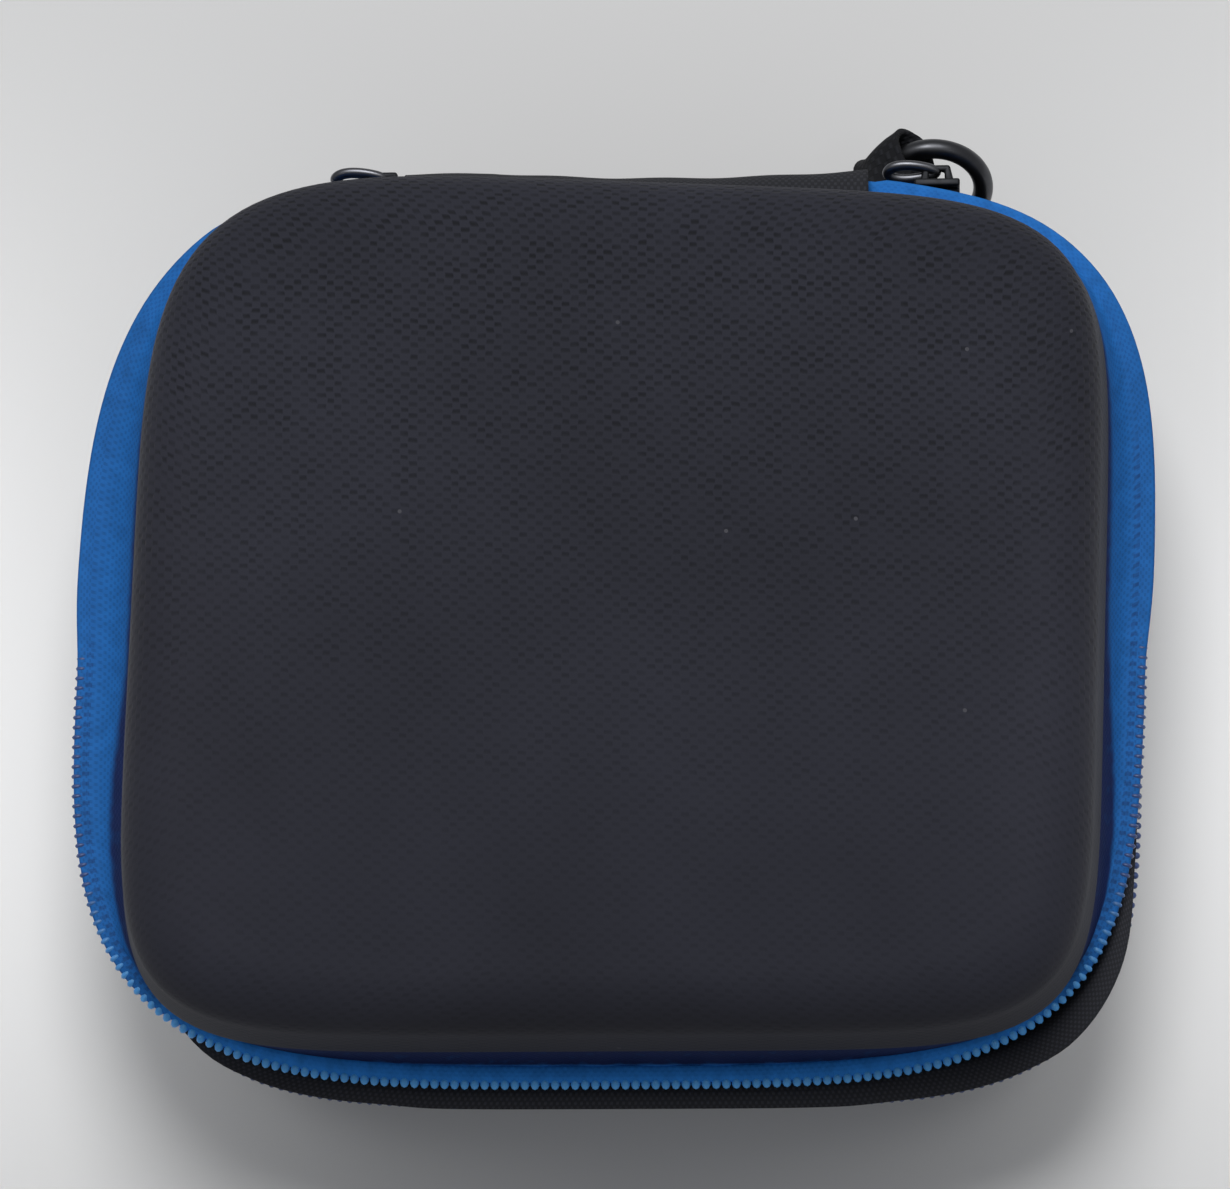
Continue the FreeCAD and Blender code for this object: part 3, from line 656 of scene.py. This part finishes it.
def lid_edge_line(sizes):
    """Outermost line of the lid's teeth, as it hangs."""
    side, back, front = 81.1 * MM, 72.3 * MM, 69.8 * MM
    outline = bowed_outline(side, back, front, 3.8, 3.28, 3.55, 4.1)
    line = open_outline(leaned(outline, sizes.tape_slack, sizes.tape_shift, sizes.tape_skew))
    # Both ends are drawn in beside the hinge, the left one until the lid hides it
    x, y = line[:, 0], line[:, 1]
    left = 2.7 * MM * ramp(-66, -50, x) + 1.6 * MM * ramp(-48, -43, x)
    right = 1.0 * MM * ramp(-66, -40, -x) + 0.6 * MM * ramp(-39, -36, -x)
    drawn_in = np.where(x < 0, left, right)
    return np.column_stack((x, y - drawn_in * (y > 20 * MM)))


def base_edge_line():
    """Outermost line of the base's teeth."""
    side, front = BASE_TEETH_HIGH[0] - 0.9 * MM, -BASE_TEETH_LOW[1] - 1.0 * MM
    return open_outline(bowed_outline(side, BASE_TEETH_HIGH[1] + 0.2 * MM, front, 5.0, 5.0, 4.95, 4.6))


def tucked(line):
    """How far the lid's teeth are turned under the tape: fully near the hinge, not at the front."""
    return ramp(-8, 14, line[:, 1])


def lid_tape_rows(sizes, outwards=0.0, roll=True):
    """Rows of the lid's tape: down from under the rim, out almost level, and over the coil at its edge."""
    edge = lid_edge_line(sizes)
    away = sideways(edge)
    tuck = tucked(edge)
    radius = 0.85 * MM
    # At the front the tape ends short of the coil, so that its teeth show
    at_front = ramp(50, 64, -edge[:, 1])
    inset = 1.75 * MM + 0.7 * MM * at_front - 0.9 * MM * tuck - 1.0 * MM * tuck * (1 - tuck)
    core = edge - away * inset[:, None]
    seam = open_outline(lid_outline(sizes, 0.7 * MM))
    level = LID_TEETH_LOW[2] + 1.2 * MM
    rim = LID_LOW[2] + 0.4 * MM
    # The coil lifts the cloth at the front only
    lift = 0.5 * ramp(48, 62, -edge[:, 1])
    # The cloth puckers a little where it is sewn round the corners
    travel = np.linspace(0, line_length(edge), len(edge))
    pucker = 0.25 * MM * np.sin(travel / (1.45 * MM)) * np.sin(travel / (31 * MM)) ** 2
    # The first row is the hem, up inside the shell's wall
    hem = open_outline(lid_outline(sizes, 2.2 * MM))
    rows = [(hem, np.full(len(edge), rim + sizes.tape_hem))]
    for share in np.linspace(0, 1, TAPE_STEPS + 1):
        line = seam + (core - away * radius - seam) * share + away * outwards
        heights = level + (rim - level) * (1 - share) ** 2.3 + pucker * sin(share * pi)
        rows.append((line, heights))
    if roll:
        for turn in np.linspace(pi, -pi / 3, 12)[1:]:
            rise = radius * sin(turn) * (lift if turn > 0 else np.ones(len(edge)))
            rows.append((core + away * radius * cos(turn), level + rise))
    return rows


def base_band_rows(sizes, tip, high, seam_inset, hem_inset, steps, power):
    """Rows of a band on the base: a hem inside the wall, then up and out from under the rim to its tip."""
    low = BASE_HIGH[2] - 0.4 * MM
    seam, hem = (open_outline(base_outline(sizes, inset)) for inset in (seam_inset, hem_inset))
    rows = [(hem, np.full(len(tip), low - sizes.tape_hem))]
    for share in np.linspace(0, 1, steps + 1):
        level = low + (high - low) * (1 - (1 - share) ** power)
        rows.append((seam + (tip - seam) * share, np.full(len(tip), level)))
    return rows


def base_tape_rows(sizes):
    """Rows of the base's tape, up to the teeth."""
    edge = base_edge_line()
    # The lip draws back beside the hinge, where the sliders come closest
    near_hinge = ramp(-52, -42, -abs(edge[:, 0])) * (edge[:, 1] > 0)
    lip = edge - sideways(edge) * (1.5 * MM + 0.7 * MM * near_hinge)[:, None]
    return base_band_rows(
        sizes, lip, high=BASE_TEETH_HIGH[2] - 1.9 * MM, seam_inset=0.5 * MM, hem_inset=1.8 * MM,
        steps=TAPE_STEPS, power=1.8)


def base_binding_rows(sizes):
    """Rows of the base's binding: inside the tape, out almost level, and folded over the teeth."""
    edge = base_edge_line()
    x, y = abs(edge[:, 0]), edge[:, 1]
    # The fold leaves the teeth showing at the sides, a little beside the front corners, and nowhere else
    at_side = ramp(-52, -36, y)
    beside_corner = ramp(30, 40, x) * (1 - ramp(58, 65, x)) * (1 - at_side)
    over = 0.1 * MM - 0.9 * MM * at_side - 0.35 * MM * beside_corner
    fold = edge + sideways(edge) * over[:, None]
    return base_band_rows(
        sizes, fold, high=BASE_TEETH_HIGH[2] - 0.6 * MM, seam_inset=1.5 * MM, hem_inset=2.6 * MM,
        steps=12, power=5)


def mark_tape(made, rows, edge):
    """Attributes for the tape's colour: sewn margin with painted shade, part over the coil with painted
    light, way in from the edge, flat part.
    """
    x, y = rows[0][0].T
    # The painted shade along the sewn margin is widest at the front and on the right, where the tape drops
    # straight from the rim into shade
    front = 0.52 * ramp(45, 60, -y)
    right = 0.6 * ramp(-4, 50, -y) * ramp(20, 60, x)
    left = 0.27 * ramp(2, 32, -y) * ramp(20, 60, -x)
    wide = np.maximum(front, np.maximum(right, left))
    shares = [(step - 1) / TAPE_STEPS for step in range(len(rows))]
    at_front = ramp(52, 64, -y)
    # Painted light near the back, more on the right; with at_front it lightens the tape over the coil
    at_back = ramp(30, 62, y) * np.where(x > 0, 0.45, 0.2)
    # The seam of the coil shows where the tape lies flat
    flat = (1 - at_front) * ease(0, 8 * MM, np.where(x > 0, 28 * MM, 0) - y)
    marks = {
        # Painted shade along the sewn margin
        "sewn": [1 - ease(0.05 + wide, 0.25 + 1.25 * wide, share) for share in shares],
        "painted_light": [np.maximum(at_front * ease(0.3, 0.8, share), at_back) for share in shares],
        "inset": [np.linalg.norm(line - edge, axis=1) for line, _ in rows],
        "flat": [flat for _ in rows],
    }
    for name, numbers in marks.items():
        made.data.attributes.new(name, "FLOAT", "POINT").data.foreach_set("value", np.concatenate(numbers))


class CASE_OT_tapes(bpy.types.Operator):
    """Make the zip's two tapes and the bindings inside them"""
    bl_idname = "carry_case.tapes"
    bl_label = "Tapes and bindings"

    def execute(self, context):
        sizes = context.scene.case_sizes
        lid_binding = lid_tape_rows(sizes, -1.3 * MM, roll=False)
        plans = (
            ("lid_tape", lid_tape_rows(sizes), "tape", "zip_tape", "lid", "lid_zip_tape", -1),
            ("base_tape", base_tape_rows(sizes), "tape", "zip_tape", "base", "base_zip_tape", 1),
            ("lid_edge_binding", lid_binding, "binding", "binding_cloth", "lid", "lid_binding", 1),
            ("base_edge_binding", base_binding_rows(sizes), "binding", "binding_cloth", "base",
             "base_binding", 0),
        )
        for name, rows, finish, slot, body, node, side in plans:
            made = piece(band_mesh(rows), name, finish, slot, body, node)
            if name == "lid_tape":
                mark_tape(made, rows, lid_edge_line(sizes))
            declare_band(rows)
            thicken(made, sizes.tape_cloth * 0.75, side)
        return {"FINISHED"}


def beads(line, heights, pitch, size, slim=1.0):
    """Row of rounded teeth or stitches along a line: size is out, along and up; slim narrows each one."""
    bead = bmesh.new()
    bmesh.ops.create_uvsphere(bead, u_segments=10, v_segments=6, radius=0.5, matrix=(
        Matrix.Diagonal((*size, 1)) @ Matrix.Rotation(pi / 10, 4, "Z")))
    corners = np.array([vert.co for vert in bead.verts])
    faces = [[vert.index for vert in face.verts] for face in bead.faces]
    bead.free()
    count = int(line_length(line) / pitch)
    spots = even(line, count)
    wanted, known = np.linspace(0, 1, count + 1), np.linspace(0, 1, len(line))
    levels = np.interp(wanted, known, heights)
    slims = np.interp(wanted, known, np.broadcast_to(slim, len(line)))
    # Neither end of the line has a bead
    spots, out, levels, slims = (each[1:-1] for each in (spots, sideways(spots), levels, slims))
    along = corners[:, 1] * slims[:, None]
    row = np.empty((count - 1, len(corners), 3))
    row[:, :, 0] = spots[:, :1] + out[:, :1] * corners[:, 0] - out[:, 1:] * along
    row[:, :, 1] = spots[:, 1:] + out[:, 1:] * corners[:, 0] + out[:, :1] * along
    row[:, :, 2] = levels[:, None] + corners[:, 2]
    mesh = bpy.data.meshes.new("row")
    mesh.from_pydata(row.reshape(-1, 3), [], [
        [corner + step * len(corners) for corner in face] for step in range(count - 1) for face in faces])
    bm = bmesh.new()
    bm.from_mesh(mesh)
    bpy.data.meshes.remove(mesh)
    return bm


class CASE_OT_teeth(bpy.types.Operator):
    """Make the coil's teeth on both tapes"""
    bl_idname = "carry_case.teeth"
    bl_label = "Zip teeth"

    def execute(self, context):
        pitch = context.scene.case_sizes.tooth_pitch
        edge = lid_edge_line(context.scene.case_sizes)
        tuck = tucked(edge)
        line = edge - sideways(edge) * (1.0 * MM + 0.95 * MM * tuck)[:, None]
        heights = LID_TEETH_LOW[2] + 1.15 * MM - 0.75 * MM * tuck
        slim = 1 - 0.35 * ramp(-62, -40, edge[:, 1])
        lid = beads(line, heights, pitch, (2.0 * MM, 1.45 * MM, 1.7 * MM), slim)
        piece(lid, "lid_teeth", "nylon", "zip_coil", "lid", "lid_zip_coil")
        edge = base_edge_line()
        heights = np.full(len(edge), BASE_TEETH_HIGH[2] - 1.6 * MM)
        base = beads(edge - sideways(edge) * 0.65 * MM, heights, pitch, (1.2 * MM, 1.1 * MM, 1.2 * MM))
        piece(base, "base_teeth", "shaded_nylon", "zip_coil", "base", "base_zip_coil")
        return {"FINISHED"}


class CASE_OT_stitches(bpy.types.Operator):
    """Make the seams that hold the tapes"""
    bl_idname = "carry_case.stitches"
    bl_label = "Stitches"

    def execute(self, context):
        sizes = context.scene.case_sizes
        size = (0.42 * MM, 2.0 * MM, 0.42 * MM)
        for body, rows, lift in (("lid", lid_tape_rows(sizes), 0.1), ("base", base_tape_rows(sizes), -0.6)):
            line, heights = rows[SEAM_ROW]
            bm = beads(line, heights + lift * MM, sizes.stitch_pitch, size)
            piece(bm, f"{body}_seam", "thread", "thread", body, f"{body}_stitching")
        return {"FINISHED"}


class CASE_OT_hinge(bpy.types.Operator):
    """Make the hinge as one strip of cloth, shaped round its fold"""
    bl_idname = "carry_case.hinge"
    bl_label = "Cloth hinge"

    def execute(self, context):
        sizes = context.scene.case_sizes
        half = FOLD_HIGH[0] + 0.5 * MM
        low, high = BASE_HIGH[2] - 1.2 * MM, LID_LOW[2] + 1.2 * MM
        base_start = BASE_HIGH[1] - 0.3 * MM
        rim = lid_outline(sizes, 0.3 * MM)[:2 * QUARTER + 1][::-1]
        columns, rows = 84, 40

        def place(column, row):
            across = (2 * column / columns - 1) * half
            share = row / rows
            # The strip bows in right of its middle, and its ends stand out where they are folded over
            fold = min(69.5 * MM + 1.9 * MM * ((across - 8 * MM) / (38 * MM)) ** 2, 70.7 * MM)
            lid_start = np.interp(across, rim[:, 0], rim[:, 1])
            start = base_start + (lid_start - base_start) * ease(0.5, 1.0, share)
            ripple = 0.12 * MM * sin(across / (2.6 * MM)) * sin(pi * share)
            # Below the fold both ends lie closer to the base and leave room for the pulls
            tight = 0.42 * ramp(25, 31, abs(across)) * (1 - ease(0.42, 0.62, share))
            bow = (1 - tight) * sin(pi * share) ** 0.8
            depth = start + (fold - 0.4 * MM - start) * bow + ripple
            return (across, depth, low + (high - low) * share)

        bm = cloth_grid(columns, rows, place, lambda column, row: (
            column * 2 * half / columns, row * 0.45 * MM))
        bmesh.ops.recalc_face_normals(bm, faces=bm.faces)
        area = sum(face.calc_area() for face in bm.faces)
        bmesh.ops.solidify(bm, geom=bm.faces[:], thickness=0.9 * MM)
        made = piece(bm, "hinge_cloth", "hinge", "hinge_cloth", None, "hinge_base_panel", "hinge_lid_panel")
        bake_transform(made)
        return {"FINISHED"}


def joint_line(name):
    joint = next(joint for joint in frame["record"]["behaviour"]["joints"] if joint["name"] == name)
    return Vector(joint["pos_m"]), Vector(joint["axis"]).normalized()


def ring_place():
    """Ring's middle, its normal, its radius to the wire's middle and the wire's radius."""
    mount = next(mount for mount in frame["record"]["mounts"] if mount["name"] == "ring")
    wire = mount["dims"]["length_mm"] / 2 * MM
    return Vector(mount["pos_m"]), Vector(mount["axis"]).normalized(), mount["dims"]["r_mm"] * MM + wire, wire


class CASE_OT_ring(bpy.types.Operator):
    """Make the ring and the webbing loop that holds it"""
    bl_idname = "carry_case.ring"
    bl_label = "Ring and loop"

    def execute(self, context):
        sizes = context.scene.case_sizes
        centre, normal, radius, wire = ring_place()
        bm = bmesh.new()
        section = bmesh.ops.create_circle(bm, segments=24, radius=wire, matrix=(
            Matrix.Translation((radius, 0, 0)) @ Matrix.Rotation(pi / 2, 4, "X")))
        bmesh.ops.spin(
            bm, geom=section["verts"] + bm.edges[:], cent=(0, 0, 0), axis=(0, 0, 1), angle=2 * pi,
            steps=96, use_merge=True)
        bmesh.ops.remove_doubles(bm, verts=bm.verts, dist=1e-6)
        bmesh.ops.recalc_face_normals(bm, faces=bm.faces)
        turn = normal.to_track_quat("Z", "Y").to_matrix().to_4x4()
        bmesh.ops.transform(bm, matrix=Matrix.Translation(centre) @ turn, verts=bm.verts)
        piece(bm, "plated_ring", "metal", "gunmetal", "ring", "carry_ring")

        spot, along = joint_line("ring_swing")
        outwards = (spot - centre).normalized()
        slant = radians(15)
        legs = (normal * cos(slant) - outwards * sin(slant)).normalized()
        upright = along.cross(legs)
        columns, leg_rows, fold_rows = 28, 10, 16
        rows = 2 * leg_rows + fold_rows
        end = BASE_HIGH[1] - 1.6 * MM
        # The loop follows the wire's curve half-way through the ring's swing, with room for both ends of it
        curl = Matrix.Rotation(radians(37.5), 3, along) @ outwards

        def place(column, row):
            across = (column / columns - 0.56) * sizes.webbing_wide
            fold = 3.15 * MM + (0.5 if across > 0 else 1.0) * MM * (2 * across / sizes.webbing_wide) ** 4
            middle = spot + along * across - curl * (radius - sqrt(radius ** 2 - across ** 2))
            # The outer end sags a little
            middle.y -= 0.2 * MM * ramp(2, 4.2, across)
            long = max((middle.y - end) / -legs.y, 2 * MM)
            pinch = sizes.webbing_thick * 0.55
            if row <= leg_rows:
                share = row / leg_rows
                # This layer stands off at its inner end and meets the other only at the base
                off = ramp(-2, 3, -across)
                apart = fold + 1.2 * MM * off * sin(pi * share)
                apart = pinch + (apart - pinch) * ease(0, 1 - 0.6 * off, share)
                return middle + legs * long * (1 - share) - upright * apart
            if row >= leg_rows + fold_rows:
                share = (row - leg_rows - fold_rows) / leg_rows
                return middle + legs * long * share + upright * (fold + (pinch - fold) * ease(0, 1, share))
            turn = -pi / 2 - pi * (row - leg_rows) / fold_rows
            return middle + legs * fold * cos(turn) + upright * fold * sin(turn)

        bm = cloth_grid(columns, rows, place, lambda column, row: (
            row * 0.75 * MM, column * sizes.webbing_wide / columns))
        area = sum(face.calc_area() for face in bm.faces)
        bmesh.ops.recalc_face_normals(bm, faces=bm.faces)
        made = piece(bm, "webbing_loop", "webbing", "webbing", "base", "ring_loop")
        thicken(made, sizes.webbing_thick * 0.9, 0)
        return {"FINISHED"}


def pull_mesh(low, high, tilt):
    """Cast pull: a long loop round the slider's bridge, broader at its tip, leaning on the bridge."""
    wire = 0.7 * MM
    columns, rows = 64, 12
    middle = [(one + two) / 2 for one, two in zip(low, high)]

    def place(column, row):
        turn, round_wire = 2 * pi * column / columns, 2 * pi * row / rows
        long = (high[0] - low[0]) / 2 - wire
        # Egg-shaped: the tip is as broad as the frame's pull, the eye a little narrower
        broad = (high[2] - low[2]) / 2 - wire - 0.35 * MM * (1 + cos(turn))
        spot = Vector((long * cos(turn), 0, broad * sin(turn)))
        out = Vector((broad * cos(turn), 0, long * sin(turn))).normalized()
        spot += out * wire * 1.25 * cos(round_wire) + Vector((0, wire * sin(round_wire), 0))
        return Vector(middle) + Vector((0, 0.7 * MM, 0)) + Matrix.Rotation(tilt, 3, "X") @ spot

    return cloth_grid(columns, rows, place, lambda column, row: (column * MM, row * MM), closed=True)


class CASE_OT_sliders(bpy.types.Operator):
    """Make the zip's sliders, with the soft edges of a casting, and their pulls"""
    bl_idname = "carry_case.sliders"
    bl_label = "Sliders and pulls"

    def execute(self, context):
        for hand in ("left", "right"):
            node = f"slider_{hand}"
            bm = bmesh.new()
            bm.from_mesh(frame["nodes"][node].data)
            bmesh.ops.remove_doubles(bm, verts=bm.verts, dist=1e-6)
            bmesh.ops.dissolve_limit(bm, angle_limit=radians(3), verts=bm.verts, edges=bm.edges)
            sharp = [edge for edge in bm.edges if edge.calc_face_angle(0) > radians(25)]
            bmesh.ops.bevel(
                bm, geom=sharp, offset=0.35 * MM, offset_type="OFFSET", affect="EDGES", segments=3,
                profile=0.5, material=-1, clamp_overlap=True)
            bmesh.ops.recalc_face_normals(bm, faces=bm.faces)
            piece(bm, f"cast_{node}", "slider_metal", "gunmetal", node, node)
            node = f"pull_{hand}"
            bm = pull_mesh(*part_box(node), tilt=radians(-48))
            piece(bm, f"cast_{node}", "pull_metal", "gunmetal", node, node)
        return {"FINISHED"}


class CASE_OT_pocket(bpy.types.Operator):
    """Make the net pocket in the lid and its elastic edge"""
    bl_idname = "carry_case.pocket"
    bl_label = "Lid pocket"

    def execute(self, context):
        sizes = context.scene.case_sizes
        low, high = NET_LOW, NET_HIGH
        corner = 20 * MM
        columns = round((high[0] - low[0]) / sizes.net_cell)
        rows = round((high[1] - low[1]) / sizes.net_cell)
        level = (low[2] + high[2]) / 2

        def hang(across, depth, height):
            return (*slacken(sizes, np.array([[across, depth]]))[0], height)

        def place(column, row):
            depth = low[1] + (high[1] - low[1]) * row / rows
            drop = max(low[1] + corner - depth, 0)
            half = high[0] - corner + sqrt(max(corner ** 2 - drop ** 2, 0))
            across = (2 * column / columns - 1) * half
            sag = 0.5 * MM * sin(pi * column / columns) * sin(pi * row / rows)
            return hang(across, depth, level - sag)

        bm = cloth_grid(columns, rows, place, lambda column, row: (
            column * sizes.net_cell, row * sizes.net_cell))
        net_area = sum(face.calc_area() for face in bm.faces)
        bmesh.ops.poke(bm, faces=bm.faces[:])
        straight = [edge for edge in bm.edges if not edge.is_boundary and all(
            len(vert.link_edges) > 4 or vert.is_boundary for vert in edge.verts)]
        bmesh.ops.dissolve_edges(bm, edges=straight)
        net = piece(bm, "pocket_net", "elastic", "net", "lid", "lid_pocket_net")
        wires = net.modifiers.new("threads", "WIREFRAME")
        wires.thickness = 0.6 * MM
        wires.use_boundary = True

        low, high = BAND_LOW, BAND_HIGH
        columns, rows = 120, 8

        def band(column, row):
            across = low[0] + (high[0] - low[0]) * column / columns
            depth = low[1] + (high[1] - low[1]) * row / rows
            gather = 0.12 * MM * sin(across / (0.9 * MM))
            return hang(across, depth, (low[2] + high[2]) / 2 + gather)

        bm = cloth_grid(columns, rows, band, lambda column, row: (
            column * (high[0] - low[0]) / columns, row * (high[1] - low[1]) / rows))
        made = piece(bm, "pocket_elastic", "elastic", "elastic", "lid", "lid_pocket_elastic")
        thicken(made, 0.9 * MM, 0)
        return {"FINISHED"}


def area_lamp(name, place, target, size, power, spread=180):
    lamp = bpy.data.lights.new(name, "AREA")
    lamp.shape = "DISK"
    lamp.size = size
    lamp.energy = power
    lamp.spread = radians(spread)
    made = add_object(name, lamp)
    made.location = place
    made.rotation_euler = (Vector(target) - Vector(place)).to_track_quat("-Z", "Y").to_euler()


class CASE_OT_stage(bpy.types.Operator):
    """Make the pale floor, the soft light and the camera"""
    bl_idname = "carry_case.stage"
    bl_label = "Stage"

    def execute(self, context):
        colours = context.scene.case_colours
        material, add = new_material("matt_paper_floor")
        place = add("TexCoord").outputs["Object"]
        grain = add("TexNoise", {"Vector": place, "Scale": 700.0, "Detail": 2.0})
        bump = add("Bump", {"Height": grain, "Strength": 0.05, "Distance": 0.1 * MM})
        surface(add, add("BsdfPrincipled", {
            "Base Color": rgba(colours.floor), "Roughness": 0.8, "Normal": bump}))
        bm = bmesh.new()
        drop = Matrix.Translation((0, 0, -0.05 * MM))
        bmesh.ops.create_grid(bm, x_segments=2, y_segments=2, size=3.0, matrix=drop)
        floor = mesh_object(bm, "floor", material)

        area_lamp("window", (0.0, 0.42, 0.95), (0, -0.06, 0), size=0.45, power=6.8)
        for name, side in (("left_wall", -1), ("right_wall", 1)):
            place, target = (side * 0.19, -0.01, 0.3), (side * 0.16, -0.01, 0)
            area_lamp(name, place, target, size=0.12, power=0.045, spread=44)
        world = bpy.data.worlds.new("pale_room")
        world.use_nodes = True
        world.node_tree.nodes.clear()
        add = partial(add_node, world.node_tree)
        sky = add("Background", {"Color": (0.86, 0.87, 0.89, 1), "Strength": 0.32})
        add("OutputWorld", {"Surface": sky})
        context.scene.world = world

        # Looks down on the lid, a little from the front and the right
        target, distance = Vector((-3.4, 5.3, 37.0)) * MM, 0.8
        tilt, yaw = radians(10), radians(3)
        level = cos(tilt)
        back = Vector((sin(yaw) * level, -sin(tilt), cos(yaw) * level)).normalized()
        right = Vector((0, 1, 0)).cross(back).normalized()
        up = back.cross(right)
        lens = bpy.data.cameras.new("camera")
        lens.lens = 154.5
        lens.sensor_width = 36
        camera = add_object("camera", lens)
        turn = Matrix((right, up, back)).transposed().to_4x4()
        camera.matrix_world = Matrix.Translation(target + back * distance) @ turn
        context.scene.camera = camera
        context.scene.view_settings.view_transform = "Standard"
        return {"FINISHED"}


STEPS = (
    CASE_OT_shells, CASE_OT_linings, CASE_OT_tapes, CASE_OT_teeth, CASE_OT_stitches, CASE_OT_hinge,
    CASE_OT_ring, CASE_OT_sliders, CASE_OT_pocket, CASE_OT_stage,
)


class CASE_PT_looks(bpy.types.Panel):
    """Sizes, colours and steps of the case's looks"""
    bl_idname = "CASE_PT_looks"
    bl_label = "Carry case"
    bl_space_type = "VIEW_3D"
    bl_region_type = "UI"
    bl_category = "Carry case"

    def draw(self, context):
        for group in (context.scene.case_sizes, context.scene.case_colours):
            box = self.layout.box()
            for name in group.__annotations__:
                box.prop(group, name)
        for step in STEPS:
            self.layout.operator(step.bl_idname)


CLASSES = (CaseSizes, CaseColours, *STEPS, CASE_PT_looks)


def register():
    for each in CLASSES:
        bpy.utils.register_class(each)
    bpy.types.Scene.case_sizes = PointerProperty(type=CaseSizes)
    bpy.types.Scene.case_colours = PointerProperty(type=CaseColours)


def unregister():
    del bpy.types.Scene.case_colours
    del bpy.types.Scene.case_sizes
    for each in reversed(CLASSES):
        bpy.utils.unregister_class(each)


def main():
    register()
    scene = bpy.context.scene
    make_finishes(scene.case_sizes, scene.case_colours)
    for step in STEPS:
        group, name = step.bl_idname.split(".")
        getattr(getattr(bpy.ops, group), name)()


if __name__ == "__main__":
    main()
